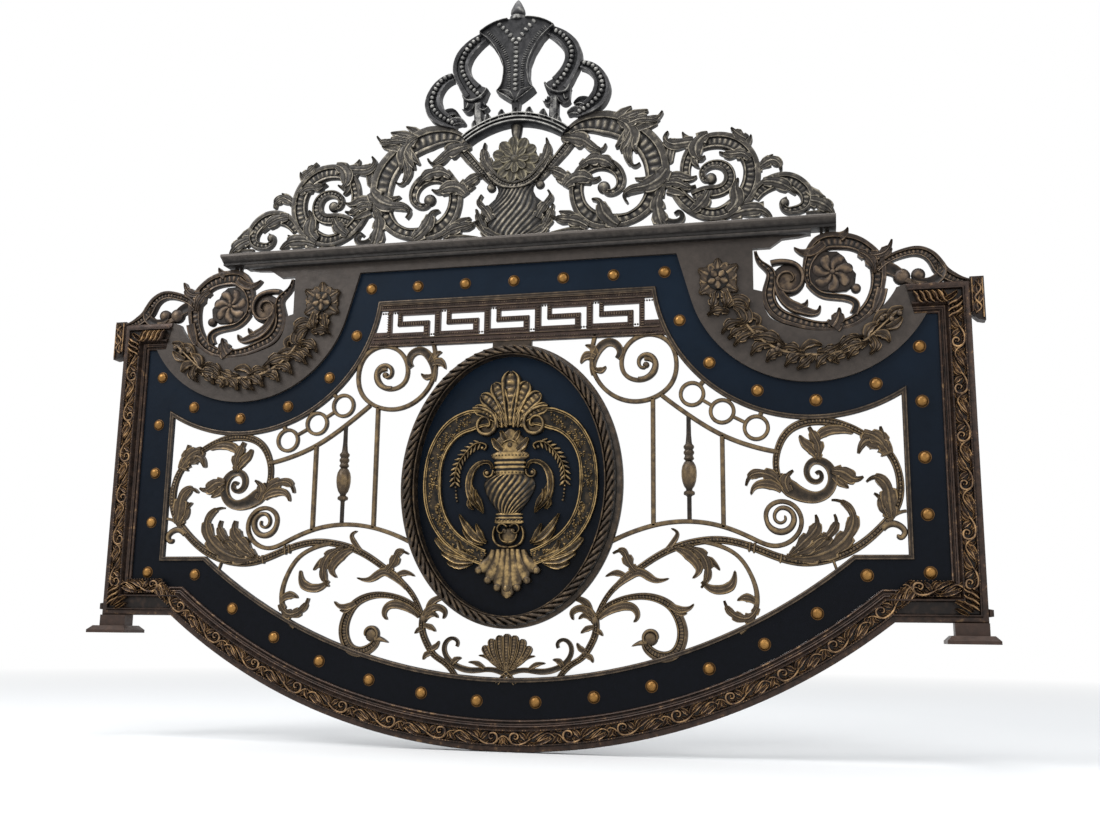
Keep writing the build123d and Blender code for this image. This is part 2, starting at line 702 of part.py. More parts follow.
def shoulder_scroll_drawing():
    """The scroll in the bowl of the shoulder plate, ending in a curl above the short rail."""
    strokes = [
        ([(664, 1021), (674, 992), (702, 962), (697, 905), (722, 845), (760, 826), (805, 811),
          (850, 806), (905, 815), (943, 842), (968, 885), (978, 935), (972, 978), (950, 1008),
          (920, 1028), (880, 1037), (846, 1036), (815, 1012), (800, 980), (796, 945),
          (806, 918)],
         (8, 22, 35, 36, 32, 26, 28, 35, 36, 42, 40, 46, 50, 26, 12)),
        ([(707, 905), (712, 960), (752, 985), (796, 962), (800, 918), (762, 894), (732, 918),
          (742, 952), (762, 950)], (14, 16, 16, 12, 8)),
        ([(718, 948), (726, 906), (748, 872), (782, 853), (822, 850)], (6, 16, 20, 22, 10)),
        ([(806, 846), (824, 852), (818, 868)], (16, 14, 4)),
        ([(858, 802), (874, 826), (872, 850)], (34, 22, 4)),
        ([(812, 1020), (785, 1010), (765, 1022)], (22, 18, 4)),
        ([(884, 1046), (898, 1056), (905, 1071)], (24, 14, 4)),
        ([(960, 990), (994, 995), (1014, 1029)], (14, 24, 4)),
        ([(800, 924), (836, 890), (880, 882), (918, 864), (912, 836)], (16, 16, 18, 18, 22)),
        ([(972, 950), (1002, 976), (1040, 991), (1083, 994), (1113, 974), (1132, 942),
          (1160, 918), (1205, 905)], (18, 20, 20, 24, 32, 26, 10)),
        ([(1128, 956), (1126, 924), (1098, 911), (1070, 922), (1066, 942), (1082, 950)],
         (12, 16, 14, 8)),
        ([(988, 912), (976, 870), (960, 838)], (26, 22, 20)),
        ([(1096, 906), (1060, 912), (1035, 926)], (16, 18)),
        ([(984, 950), (1010, 948), (1035, 930)], (34, 34, 30)),
    ]
    flower = [(806, 950), (812, 978), (838, 994), (872, 1000), (890, 988), (906, 966),
              (922, 944), (918, 914), (896, 898), (862, 897), (828, 902), (810, 920)]
    lugs = [(837, 8), (852, 10)]
    shapes = shoulder_art.bars(strokes)
    shapes += [shoulder_art.patch(*flower), shoulder_art.disc(920, 905, 13),
               shoulder_art.disc(1035, 930, 22)]
    for place, width in lugs:
        x, z = shoulder_art.at(place, 1030)
        shapes.append(block(x - width / 2, x + width / 2, z, soffit))
    return fuse(*shapes)


def garland_drawing():
    """A square flower with a swag of leaves that follows the shoulder plate."""
    swag = [(590, 915), (612, 862), (660, 790), (730, 736), (805, 712), (880, 722),
            (950, 755), (1000, 800), (1034, 842)]
    flower = [(530, 900), (520, 978), (556, 984), (563, 1007), (580, 988), (617, 990), (619, 902)]
    return fuse(shoulder_art.patch(*flower),
                shoulder_art.bar(swag, 30, 52, 60, 56, 58, 44, 18))


def moved(shape):
    """From the drawing's centre to the sole of the left foot."""
    return Pos(foot_spacing / 2, 0, 0) * shape


def pair(name, shape):
    """The right and left pieces of a mirrored pair, by name."""
    return {f"right_{name}": shape, f"left_{name}": mirrored(shape)}


def frame_parts():
    parts = {"bottom_rail": bottom_rail()}
    parts.update(pair("stile", stile()))
    parts.update(pair("top_rail", top_rail()))
    parts.update(pair("foot", foot()))
    parts.update(pair("wall_bracket", wall_bracket()))
    return parts


def field_parts():
    field = field_drawing()
    far = 2 * stile_outside
    seam = opening_half_width * 0.38
    below = block(-far, far, -far, opening_corner_height)
    beside = block(seam, far, opening_corner_height, far)
    between = block(-seam, seam, opening_corner_height, far)
    parts = {
        "bottom_field": plate(field & below, field_back, 0),
        "top_field": plate(field & between, field_back, 0),
        "opening_rim": plate(opening(rim_width) - opening(0), 0, rim_rise),
    }
    parts.update(pair("field", plate(field & beside, field_back, 0)))
    shoulder = plate(shoulder_drawing(), field_back, shoulder_plate_front)
    parts.update(pair("shoulder_plate", shoulder))
    board = block(-board_half_width, board_half_width, field_top, cornice_underside)
    parts["frieze_board"] = plate(board, field_back, shoulder_plate_front)
    parts["cornice"] = cornice()
    garland = plate(garland_drawing(), shoulder_plate_front, shoulder_plate_front + 16)
    parts.update(pair("garland", garland))
    return parts


def medallion_parts():
    window = oval(oval_ring_at_sides, oval_ring_at_ends)
    backing = plate(window, -oval_plate_thickness, 0)
    return {
        "oval_rim": oval_rim(),
        "oval_plate": backing,
        "oval_cartouche": plate(cartouche_drawing(), 0, relief_height),
        "oval_urn": plate(urn_drawing(), 0, relief_height),
    }


def infill_parts():
    """The scrollwork. Each piece ends flush where it meets one already in place."""
    clear = opening(0)
    frieze = frieze_drawing()
    medallion = oval(0, 0)
    volute = (volute_drawing() & clear) - [frieze, medallion]
    leaf_scroll = (leaf_scroll_drawing() & clear) - medallion
    spray = (spray_drawing() & clear) - [leaf_scroll, medallion]
    left_spray = mirrored(spray)
    shell = (shell_drawing() & clear) - [spray, left_spray, medallion]
    grille = (grille_drawing() & clear) - [leaf_scroll, volute, medallion]
    rings = (ring_chain_drawing() & clear) - [grille, leaf_scroll, volute]

    def infill(shape):
        return plate(shape, infill_back, infill_front)

    grille_solid = infill(grille)
    parts = {"key_frieze": infill(frieze), "shell_cluster": infill(shell)}
    parts.update(pair("volute", infill(volute)))
    parts.update(pair("leaf_scroll", infill(leaf_scroll)))
    parts.update(pair("spray", infill(spray)))
    parts.update(pair("bar_grille", grille_solid + infill(rings)))
    parts.update(pair("baluster", baluster() - grille_solid))
    return parts


def crest_parts():
    """The crest on the cornice. Each piece ends flush where it meets one already in place."""
    under = block(-2 * cornice_half_length, 2 * cornice_half_length, 0, cornice_top)
    urn = crest_urn_drawing() - under
    band = crown_band_drawing()
    urn -= band
    inner = inner_crest_drawing() - [under, urn, band]
    outer = outer_crest_drawing() - [under, inner]
    centre_arch = crown_centre_arch_drawing() - band
    inner_arch = crown_inner_arch_drawing() - [band, centre_arch]
    outer_arch = crown_outer_arch_drawing() - [band, inner_arch, inner]

    def crest(shape):
        return plate(shape, crest_back, crest_front)

    parts = {
        "crest_urn": crest(urn),
        "crest_rosette": rosette(),
        "crown_band": plate(band, crown_back, crown_front),
        "crown_centre_arch": plate(centre_arch, crown_back + 6, crown_front),
        "crown_finial": crown_finial(),
    }
    parts.update(pair("inner_crest_scroll", crest(inner)))
    parts.update(pair("outer_crest_scroll", crest(outer)))
    parts.update(pair("inner_crown_arch", plate(inner_arch, crown_back + 6, crown_front - 8)))
    parts.update(pair("outer_crown_arch", plate(outer_arch, crown_back + 6, crown_front - 8)))
    return parts


def shoulder_scroll_parts():
    scroll = shoulder_scroll_drawing()
    rail = block(rail_end_from_centre, stile_outside, rail_foot_of_top, stile_top)
    wall = block(stile_outside, stile_outside * 2, 0, stile_top * 2)
    above = [block(0, bed_mould_half_length, cornice_underside, cornice_top),
             block(0, cornice_half_length, soffit, cornice_top)]
    scroll -= [shoulder_drawing(), rail, wall, *above]
    return pair("shoulder_scroll", plate(scroll, field_back, shoulder_plate_front))


def main():
    os.makedirs("parts", exist_ok=True)
    parts = {}
    for group in (frame_parts, field_parts, medallion_parts, infill_parts, crest_parts,
                  shoulder_scroll_parts):
        parts.update(group())
    for name, shape in parts.items():
        export_step(moved(shape), f"parts/{name}.step")


main()
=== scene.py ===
from math import acos, asin, cos, degrees, pi, radians, sin, sqrt

import bmesh
import bpy
import numpy as np
from mathutils import Matrix, Vector


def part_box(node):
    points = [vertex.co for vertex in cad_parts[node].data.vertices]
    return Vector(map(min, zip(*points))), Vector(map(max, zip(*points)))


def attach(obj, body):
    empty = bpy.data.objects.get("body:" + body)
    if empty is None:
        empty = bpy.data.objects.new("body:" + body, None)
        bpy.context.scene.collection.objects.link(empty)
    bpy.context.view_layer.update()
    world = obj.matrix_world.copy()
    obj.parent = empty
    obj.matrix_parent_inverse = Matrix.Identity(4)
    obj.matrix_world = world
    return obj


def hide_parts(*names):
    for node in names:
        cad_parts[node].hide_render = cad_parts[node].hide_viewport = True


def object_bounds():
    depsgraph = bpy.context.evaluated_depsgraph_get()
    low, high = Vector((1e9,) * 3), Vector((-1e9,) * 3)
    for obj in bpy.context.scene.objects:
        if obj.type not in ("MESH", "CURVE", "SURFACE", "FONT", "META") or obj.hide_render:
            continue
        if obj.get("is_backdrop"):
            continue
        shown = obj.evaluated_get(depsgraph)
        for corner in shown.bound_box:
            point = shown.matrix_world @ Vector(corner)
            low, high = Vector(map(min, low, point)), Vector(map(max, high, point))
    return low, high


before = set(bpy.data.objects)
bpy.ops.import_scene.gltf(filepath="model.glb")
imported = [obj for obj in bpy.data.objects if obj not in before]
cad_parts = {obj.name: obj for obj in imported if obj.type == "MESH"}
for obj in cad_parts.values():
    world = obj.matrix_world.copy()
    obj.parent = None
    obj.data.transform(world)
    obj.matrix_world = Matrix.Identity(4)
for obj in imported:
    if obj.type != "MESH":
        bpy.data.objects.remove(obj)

bl_info = {
    "name": "Ornamental fence panel",
    "version": (1, 0, 0),
    "blender": (4, 5, 0),
    "location": "View3D > Sidebar > Fence",
    "description": "Relief, studs, mouldings and finishes for an ornamental metal fence panel",
    "category": "Object",
}

# The ornament is drawn in millimetres, seen from the front: x from the middle of the panel,
# z up from the soles of the feet, and "out" towards the viewer from the face of the field.
MM = 0.001
MIDDLE = sum(corner[0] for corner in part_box("bottom_rail")) / 2

# Moulded frame
STILE_INSIDE = 1118
MOULDING = 80
STILE_TOP = 905
RAIL_TOP = 130
SHORT_RAIL_FOOT = STILE_TOP - MOULDING
SHORT_RAIL_END = 1042
SHORT_RAIL_SLANT = 18
BOW_CENTRE = 1305
BOW_RADIUS = 1513
ORNAMENT_LINE = 44
# Height of the running ornament on the level ends of the bottom rail, at the rail's top edge
LEVEL_ORNAMENT_HEIGHT = 132
# How far the running ornament of the stile reaches past the inner edges of the rails
STILE_ORNAMENT_OVERLAP = 14
CORNER_LEAF_PITCH = 15
# Where the two rows of small beads run, to either side of the running ornament
BEAD_ROWS = (-18.3, 18.5)
BEAD_ROW_INSET = 3
BEAD_ROW_PITCH = 8
MOULDING_PITCH = 129
MOULDING_BACK = -20
MOULDING_FRONT = 20
# Offset from the inner edge, depth and brightness of each point across the moulding; the brightness
# paints shade in the hollows and highlights on the ridges, along with the frame's gilding
MOULDING_PROFILE = [
    (0, 4, 0.4), (1.5, 7, 0.55), (4, 8, 0.6), (6, 6.5, 0.45), (7, 4, 0.3), (9, 3.5, 0.35),
    (10, 6.5, 0.5), (12.5, 7.5, 0.58), (14, 5.5, 0.4), (15.5, 7.5, 0.5), (18, 8.5, 0.58),
    (19.5, 7, 0.4), (21, 10, 0.35), (22.5, 17, 0.4), (24, 20, 0.45), (27.5, 20, 0.4),
    (29, 14, 0.25), (31, 12, 0.18), (58, 12, 0.18), (60, 14, 0.25), (61, 20, 0.4), (64, 20, 0.45),
    (65.5, 16, 0.3), (67, 14, 0.45), (76, 14, 0.55), (79, 12.5, 0.55), (80, 10, 0.45)]

# Field, opening and shoulder
OPENING_HALF_WIDTH = 1021
OPENING_TOP = 925
OPENING_CORNER = 215
OPENING_BOW_RADIUS = 1407
SHOULDER = (806, 984)
SHOULDER_OPENING_RADIUS = 424
FIELD_SHEETS = ("top_field", "bottom_field", "left_field", "right_field")
FIELD_PLATES = ("frieze_board", "left_shoulder_plate", "right_shoulder_plate")
RIM_PROFILE = [(0, 4), (1.5, 6), (4, 6.5), (5, 5), (8, 5), (9, 6.5), (11.5, 6), (13, 3)]

# Back, floor and front of the flat bars and scrolls in the opening
INFILL_DEPTHS = (-8, -2, 4)

# Key frieze
FRIEZE_HEIGHT = 123
FRIEZE_PITCH = 145
FRIEZE_UNITS = 5

# Cornice
CORNICE_FOOT = 1054
CORNICE_TOP = 1091
FASCIA_FOOT = 1063
CORNICE_HALF_LENGTH = 875
BED_HALF_LENGTH = 810
# Height above the foot of the fascia or of the bed mould, and depth
FASCIA_PROFILE = [(0, 32), (0, 38), (9, 38), (11, 42), (16, 47), (21, 52), (25, 58), (27, 60),
                  (34, 60), (35.5, 58.5), (37, 58)]
FASCIA_DRAWN_HEIGHT = 37
BED_PROFILE = [(0, 29), (2, 30), (6, 31), (9, 32)]

# Oval
OVAL_CENTRE = 408
OVAL_HALF_WIDTH = 309
OVAL_HALF_HEIGHT = 385
RING_AT_SIDES = 47
RING_AT_ENDS = 34
CRUMB_SEED = 3
CRUMBS = 80
CRUMB_SPREAD = 15
# Step in from the outer edge, depth and brightness of each point across the oval ring; the
# brightness paints shade in the rope's channel and highlights on the rims
RING_PROFILE = [
    (0, -8, 0.5), (0, 7, 0.2), (2, 10, 0.6), (6, 10.5, 0.5), (9, 13, 0.4), (14, 15, 0.3),
    (15.5, 23, 0.1), (19, 28, 0.1), (24, 31, 0.1), (29, 32, 0.1), (34, 31, 0.1), (38, 27, 0.1),
    (40, 24, 0.1), (41.5, 27, 0.5), (43, 30, 0.7), (45.5, 30, 0.6), (47, 27, 0.2), (47, -8, 0.5)]

# Camera and lamps, in metres
CAMERA_PLACE = (1.9663, -2.9777, 0.0158)
CAMERA_RIGHT = Vector((0.97392, 0.22655, 0.01247))
CAMERA_BACK = Vector((0.22482, -0.95618, -0.18757))
CAMERA_LENS = 37.68
LAMPS = (("key", (-2.2, -3.2, 4.0), 2.4, 150), ("fill", (5.0, -3.4, 2.0), 3.0, 55),
         ("sky", (MIDDLE, -0.6, 4.4), 3.0, 130))
LAMP_TARGET = Vector((MIDDLE, 0, 0.7))
FLOOR_SIZE = 60
FADE_START = 1.6
FADE_END = 6

BRACKET_FRONT = -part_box("right_wall_bracket")[0].y / MM - 7

# How finely the shapes are cut up along their length, in millimetres
FINE_STEP = 3.2
COARSE_STEP = 5


class Art:
    """Ornament drawn from a base point at one size, and stretched to the real place and size."""

    def __init__(self, drawn=(0, 0, 1, 1), real=(0, 0, 1, 1)):
        self.drawn = drawn
        self.real = real
        self.stretch = real[2] / drawn[2]
        self.rise = real[3] / drawn[3]

    def at(self, point):
        return (self.real[0] + (point[0] - self.drawn[0]) * self.stretch,
                self.real[1] + (point[1] - self.drawn[1]) * self.rise)


PLAIN = Art()
CREST = Art((0, 1095, 875, 348), (0, 1091, 875, 347))
CROWN = Art((0, 1452, 884, 326), (0, 1438, 875, 323))
SHOULDER_ART = Art((806, 987, 327, 327), (806, 984, 326, 326))


def spline(points, step):
    """Even places on a smooth line through the points, and their share of its length."""
    points = np.array(points, float)
    gaps = np.linalg.norm(np.diff(points, axis=0), axis=1)
    knots = np.concatenate([[0], np.cumsum(gaps)])
    count = max(2, int(round(knots[-1] / step)) + 1)
    places = np.linspace(0, knots[-1], count)
    if len(points) == 2:
        share = places / knots[-1]
        return points[0] + share[:, None] * (points[1] - points[0]), share
    chords = np.diff(points, axis=0) / gaps[:, None]
    matrix = np.eye(len(points))
    slopes = np.zeros_like(points)
    slopes[0] = chords[0] + (chords[0] - chords[1]) * gaps[0] / (gaps[0] + gaps[1])
    slopes[-1] = chords[-1] + (chords[-1] - chords[-2]) * gaps[-1] / (gaps[-1] + gaps[-2])
    for i in range(1, len(points) - 1):
        before, after = 1 / gaps[i - 1], 1 / gaps[i]
        matrix[i, i - 1:i + 2] = before, 2 * (before + after), after
        slopes[i] = 3 * (chords[i - 1] * before + chords[i] * after)
    slopes = np.linalg.solve(matrix, slopes)
    span = np.clip(np.searchsorted(knots, places, side="right") - 1, 0, len(gaps) - 1)
    t = ((places - knots[span]) / gaps[span])[:, None]
    length = gaps[span][:, None]
    curve = ((2 * t**3 - 3 * t**2 + 1) * points[span] + (3 * t**2 - 2 * t**3) * points[span + 1]
             + (t**3 - 2 * t**2 + t) * slopes[span] * length
             + (t**3 - t**2) * slopes[span + 1] * length)
    return curve, places / knots[-1]


def directions_of(line):
    """The unit vector along the line at each of its places."""
    ahead = np.gradient(line, axis=0)
    return ahead / np.linalg.norm(ahead, axis=1)[:, None]


def normals_of(line):
    """The unit vector to the right of the way the line runs, at each of its places."""
    ahead = directions_of(line)
    return np.stack([ahead[:, 1], -ahead[:, 0]], axis=1)


def spoke(centre, angle, reach):
    """The point at an angle and a distance from a centre."""
    return centre[0] + reach * cos(angle), centre[1] + reach * sin(angle)


def both(points):
    """An outline drawn on the right, closed by its mirror image on the left."""
    return list(points) + [(-x, z) for x, z in reversed(points)]


def flat_path(points, out=0):
    return [(x, out, z) for x, z in points]


def level_path(z, half_width):
    return [(-half_width, 0, z), (half_width, 0, z)]


def arc(centre, radius, start, stop, step=2.0):
    """Points of a circle about a centre. Angles are from straight down, in degrees."""
    count = max(2, int(abs(stop - start) / step) + 1)
    return [(centre[0] + radius * sin(radians(a)), centre[1] - radius * cos(radians(a)))
            for a in np.linspace(start, stop, count)]


def bow(radius, level):
    """Points of a circle about the centre of the bow, below a level, from left to right."""
    end = degrees(acos((BOW_CENTRE - level) / radius))
    return arc((0, BOW_CENTRE), radius, -end, end, 1.2)


# Heights across a stroke: place from -1 to 1, height, and brightness, which paints highlights on
# crowns and rims and shade in hollows and at the sides, along with the gilding on raised parts
SECTIONS = {
    "lobe": [(-1, 0.35, 0.5), (-0.82, 0.8, 1), (-0.55, 0.6, 0.6), (-0.2, 0.5, 0.45), (0, 0.72, 0.75),
             (0.2, 0.5, 0.45), (0.55, 0.6, 0.6), (0.82, 0.8, 1), (1, 0.35, 0.5)],
    "scoop": [(-1, 0.5, 0.4), (-0.88, 1, 0.95), (-0.66, 0.9, 0.5), (-0.3, 0.4, 0.25),
              (0.3, 0.35, 0.3), (0.72, 0.8, 0.5), (0.88, 0.95, 0.9), (1, 0.5, 0.5)],
    "arched": [(-1, 0.6, 0.4), (-0.94, 1, 0.75), (-0.85, 1, 0.5), (-0.5, 0.85, 0.4),
               (-0.42, 0.55, 0.1), (0.42, 0.55, 0.1), (0.5, 0.85, 0.4), (0.85, 1, 0.5),
               (0.94, 1, 0.75), (1, 0.6, 0.4)],
    "banded": [(-1, 0.2, 0.1), (-0.9, 0.8, 0.9), (-0.72, 0.85, 0.9), (-0.62, 0.4, 0.05),
               (-0.3, 0.45, 0.05), (-0.2, 0.95, 0.95), (0, 0.95, 0.95), (0.1, 0.5, 0.05),
               (0.42, 0.5, 0.05), (0.52, 1, 0.95), (0.72, 1, 0.95), (0.82, 0.5, 0.05),
               (1, 0.2, 0.1)],
    "bar": [(-1, 0.5, 0.5), (-0.62, 1, 0.75), (0.62, 1, 0.75), (1, 0.5, 0.5)],
    "round": [(-1, 0.1, 0.1), (-0.9, 0.45, 0.3), (-0.6, 0.82, 0.6), (-0.2, 0.99, 0.85),
              (0.2, 0.99, 0.85), (0.6, 0.82, 0.6), (0.9, 0.45, 0.3), (1, 0.1, 0.1)],
    "band": [(-1, 0.5, 0.5), (-0.9, 0.95, 0.9), (-0.74, 1, 1), (-0.6, 0.9, 0.7),
             (-0.54, 0.3, 0.1), (0, 0.22, 0.3), (0.54, 0.3, 0.1), (0.6, 0.9, 0.7),
             (0.74, 1, 1), (0.9, 0.95, 0.9), (1, 0.5, 0.5)],
    "channel": [(-1, 0.45, 0.4), (-0.93, 0.95, 0.75), (-0.82, 1, 0.58), (-0.5, 1, 0.6),
                (-0.42, 0.9, 1), (-0.36, 0.2, 0.05), (-0.1, 0.4, 0.4), (0.35, 0.4, 0.4),
                (0.62, 0.2, 0.05), (0.68, 0.85, 1), (0.88, 0.95, 0.6), (1, 0.45, 0.4)],
    "moulded": [(-1, 0.4, 0.3), (-0.93, 0.9, 1), (-0.84, 0.9, 1), (-0.79, 0.45, 0.1),
                (-0.74, 0.75, 0.8), (-0.66, 0.75, 0.8), (-0.6, 0.4, 0.15), (0, 0.45, 0.36),
                (0.6, 0.4, 0.15), (0.66, 0.75, 0.8), (0.74, 0.75, 0.8), (0.79, 0.45, 0.1),
                (0.84, 0.9, 1), (0.93, 0.9, 1), (1, 0.4, 0.3)],
    "petal": [(-1, 0.3, 0.4), (-0.84, 0.9, 1), (-0.66, 0.85, 0.7), (-0.5, 0.4, 0.15),
              (-0.26, 0.5, 0.5), (0, 0.6, 0.9), (0.26, 0.5, 0.5), (0.5, 0.4, 0.15),
              (0.66, 0.85, 0.7), (0.84, 0.9, 1), (1, 0.3, 0.4)],
    "stem": [(-1, 0.2, 0.2), (-0.85, 0.7, 0.6), (-0.6, 0.85, 0.8), (-0.42, 0.6, 0.2),
             (-0.2, 1, 1), (0.2, 1, 1), (0.42, 0.6, 0.2), (0.6, 0.85, 0.8), (0.85, 0.7, 0.6),
             (1, 0.2, 0.2)],
    "ridge": [(-1, 0.15, 0.2), (-0.85, 0.6, 0.5), (-0.5, 0.7, 0.3), (-0.3, 0.95, 0.9),
              (0, 1, 1), (0.3, 0.95, 0.9), (0.5, 0.7, 0.3), (0.85, 0.6, 0.5), (1, 0.15, 0.2)],
}
# Distance from rib to rib along the strokes whose hollow or ridge is ribbed, as a share of
# their width
FLUTES = {"channel": 0.3, "stem": 0.42, "petal": 0.34}
# The same for half of a broad leaf, from its midrib to its edge: painted highlights on the midrib
# and rim, painted shade in the flute between
LEAF = np.array([(0, 1, 0.82), (0.1, 0.9, 0.7), (0.18, 0.68, 0.4), (0.48, 0.84, 0.66),
                 (0.74, 0.68, 0.45), (0.84, 0.9, 0.9), (0.94, 0.88, 0.85), (1, 0.45, 0.45)])
NARROW_LEAF = 30
BACK_SHADE = 0.5
# Back faces are set this far apart in turn, so that no two that overlap lie in one plane
BACK_STEP = 0.02
BACK_STEPS = 47
REPEAT_SEED = 5
ROUNDED = ("lobe", "petal", "round")


class Casting:
    """The ridges, bands and leaves of one piece, collected as one mesh."""

    def __init__(self, back, floor, front, art=PLAIN):
        self.back, self.floor, self.front, self.art = back, floor, front, art
        self.points, self.shades, self.faces = [], [], []
        self.count = 0
        self.strokes = 0

    def add(self, points, shades, faces):
        """Points as x, out and z."""
        self.points.append(np.asarray(points, float))
        self.shades.append(np.asarray(shades, float))
        self.faces += [[corner + self.count for corner in face] for face in faces]
        self.count += len(points)

    def loft(self, rings, shades, loop=False):
        """A closed skin over rings of points, capped at both ends unless it is a loop."""
        count, around, _ = rings.shape
        first = np.arange(count if loop else count - 1)[:, None] * around
        after = (first + around) % (count * around)
        here = np.arange(around)[None, :]
        beside = (here + 1) % around
        quads = np.stack([first + here, first + beside, after + beside, after + here], axis=-1)
        faces = quads.reshape(-1, 4).tolist()
        if not loop:
            faces.append(list(range(around))[::-1])
            faces.append(list(range((count - 1) * around, count * around)))
        self.add(rings.reshape(-1, 3), np.broadcast_to(shades, rings.shape[:2]).ravel(), faces)

    def own_back(self):
        """A back face that lies a hair in front of or behind those of its neighbours."""
        self.strokes += 1
        return self.back + BACK_STEP * (self.strokes % BACK_STEPS)

    def stroke(self, kind, points, widths, lift=0, rise=None):
        """A ridge, band or leaf along a smooth line, its width changing evenly between widths."""
        widths = np.array(widths if np.ndim(widths) else (widths,), float) * self.art.stretch
        step = COARSE_STEP if kind in ("bar", "band") else FINE_STEP
        line, share = spline([self.art.at(p) for p in points], step)
        width = np.interp(share, np.linspace(0, 1, len(widths)), widths)
        length = share * np.linalg.norm(np.diff(line, axis=0), axis=1).sum()
        if kind == "leaf" and width.max() < NARROW_LEAF:
            kind = "lobe"
        if kind in ROUNDED:
            short = np.clip(1 - 2 * (length[-1] - length) / max(width[-1], 3), 0, 0.97)
            width = width * np.sqrt(1 - short**2)
        across, height, shade = self.section(kind, share, length, width)
        side = normals_of(line)
        plan = line[:, None, :] + side[:, None, :] * (across * width[:, None] / 2)[..., None]
        floor = self.floor + lift
        top = floor + height * ((self.front - self.floor) if rise is None else rise)
        rings = np.zeros((len(line), across.shape[1] + 2, 3))
        rings[:, 1:-1, 0], rings[:, 1:-1, 2] = plan[..., 0], plan[..., 1]
        rings[:, 1:-1, 1] = top
        rings[:, 0], rings[:, -1] = rings[:, 1], rings[:, -2]
        rings[:, [0, -1], 1] = self.own_back()
        shades = np.full(rings.shape[:2], BACK_SHADE)
        shades[:, 1:-1] = shade
        self.loft(rings, shades)

    def section(self, kind, share, length, width):
        """Place across, height and shade of every point of a stroke."""
        if kind != "leaf":
            table = np.array(SECTIONS[kind])
            across, height, shade = [np.tile(table[:, k], (len(share), 1)) for k in range(3)]
            if kind in FLUTES:
                pitch = max(FLUTES[kind] * width.max(), 8)
                wave = 0.5 + 0.5 * np.cos(2 * pi * length / pitch)[:, None]
                middle = np.abs(table[:, 0]) < (0.36 if kind == "channel" else 0.3)
                height[:, middle] += 0.45 * wave - 0.2
                low = 0.5 if kind == "petal" else 0.2
                # Painted highlight on each rib, painted shade between the ribs
                shade[:, middle] = low + (0.9 - low) * wave
            return across, height, shade
        table = np.vstack([LEAF[:0:-1] * (-1, 1, 1), LEAF])
        across, height, shade = [np.tile(table[:, k], (len(share), 1)) for k in range(3)]
        reach = np.abs(across)
        along = share[:, None]
        lobes = max(2, round(length[-1] / max(width.max(), 9)))
        phase = along * lobes - 0.5 * reach
        notch = np.clip(1 - 1.7 * (phase % 1), 0, 1)
        across = across * (1 - 0.46 * notch * reach**2)
        height = height * (1 + 0.2 * along**3) - 0.2 * notch * np.clip(reach * 2 - 0.7, 0, 1)
        # Painted shade in the crease at each notch
        shade = shade - 0.3 * notch * reach * (reach < 0.8)
        return across, np.clip(height, 0.15, 1.25), np.clip(shade, 0, 1)

    def draw(self, strokes, lift=0):
        """Strokes as kind, points, widths and, where it has one, a lift."""
        for kind, points, widths, *own_lift in strokes:
            self.stroke(kind, points, widths, lift + (own_lift[0] if own_lift else 0))

    def dome(self, x, z, radius, rise=None, floor=None, sides=16, levels=4):
        """A round boss."""
        x, z = self.art.at((x, z))
        radius *= self.art.stretch
        floor = self.floor if floor is None else floor
        rise = (self.front - self.floor) if rise is None else rise
        turn = np.linspace(0, 2 * pi, sides, endpoint=False)
        lean = np.linspace(0, pi / 2 * 0.94, levels)
        radii = np.concatenate([[radius], radius * np.cos(lean)])
        outs = np.concatenate([[min(self.own_back(), floor)], floor + rise * np.sin(lean)])
        rings = np.zeros((len(radii), sides, 3))
        rings[..., 0] = x + radii[:, None] * np.cos(turn)
        rings[..., 2] = z + radii[:, None] * np.sin(turn)
        rings[..., 1] = outs[:, None]
        # Painted light: the crown of the boss is a painted highlight, its foot painted shade
        self.loft(rings, np.concatenate([[BACK_SHADE], np.sin(lean) * 0.65 + 0.15])[:, None])

    def slab(self, outline, floor=None, front=None, bevel=2.5, shade=0.45):
        """A flat shape with straight sides and a bevelled front edge."""
        floor = self.own_back() if floor is None else floor
        front = self.front if front is None else front
        plan = np.array([self.art.at(p) for p in outline], float)
        area = np.cross(plan, np.roll(plan, -1, axis=0)).sum()
        before, after = plan - np.roll(plan, 1, axis=0), np.roll(plan, -1, axis=0) - plan
        sides = [d / np.linalg.norm(d, axis=1)[:, None] for d in (before, after)]
        inward = sum(np.stack([-d[:, 1], d[:, 0]], axis=1) for d in sides) * np.sign(area)
        size = np.linalg.norm(inward, axis=1)[:, None]
        inward = inward / size * np.clip(2 / size, 1, 2.5)
        rings = np.zeros((3, len(plan), 3))
        for ring, (out, inset) in enumerate(((floor, 0), (front - bevel, 0), (front, bevel))):
            moved = plan + inward * inset
            rings[ring, :, 0], rings[ring, :, 2], rings[ring, :, 1] = moved[:, 0], moved[:, 1], out
        self.loft(rings, np.array([[BACK_SHADE], [shade], [shade]]))

    def swell(self, profile, rise, ribs=0, slant=0.0, floor=None, across=17):
        """A bellied shape about an upright line, from heights and half widths, with ribs."""
        profile = np.array([(self.art.at((0, z))[1], w * self.art.stretch) for z, w in profile])
        line, _ = spline(profile, 2)
        floor = self.floor if floor is None else floor
        angle = np.linspace(-pi / 2, pi / 2, across)
        span = line[-1, 0] - line[0, 0]
        share = ((line[:, 0] - line[0, 0]) / span)[:, None]
        sine = np.abs(np.sin(pi * (ribs * np.sin(angle[None, :]) + slant * share)))
        wave = sine**0.7 if ribs else 1
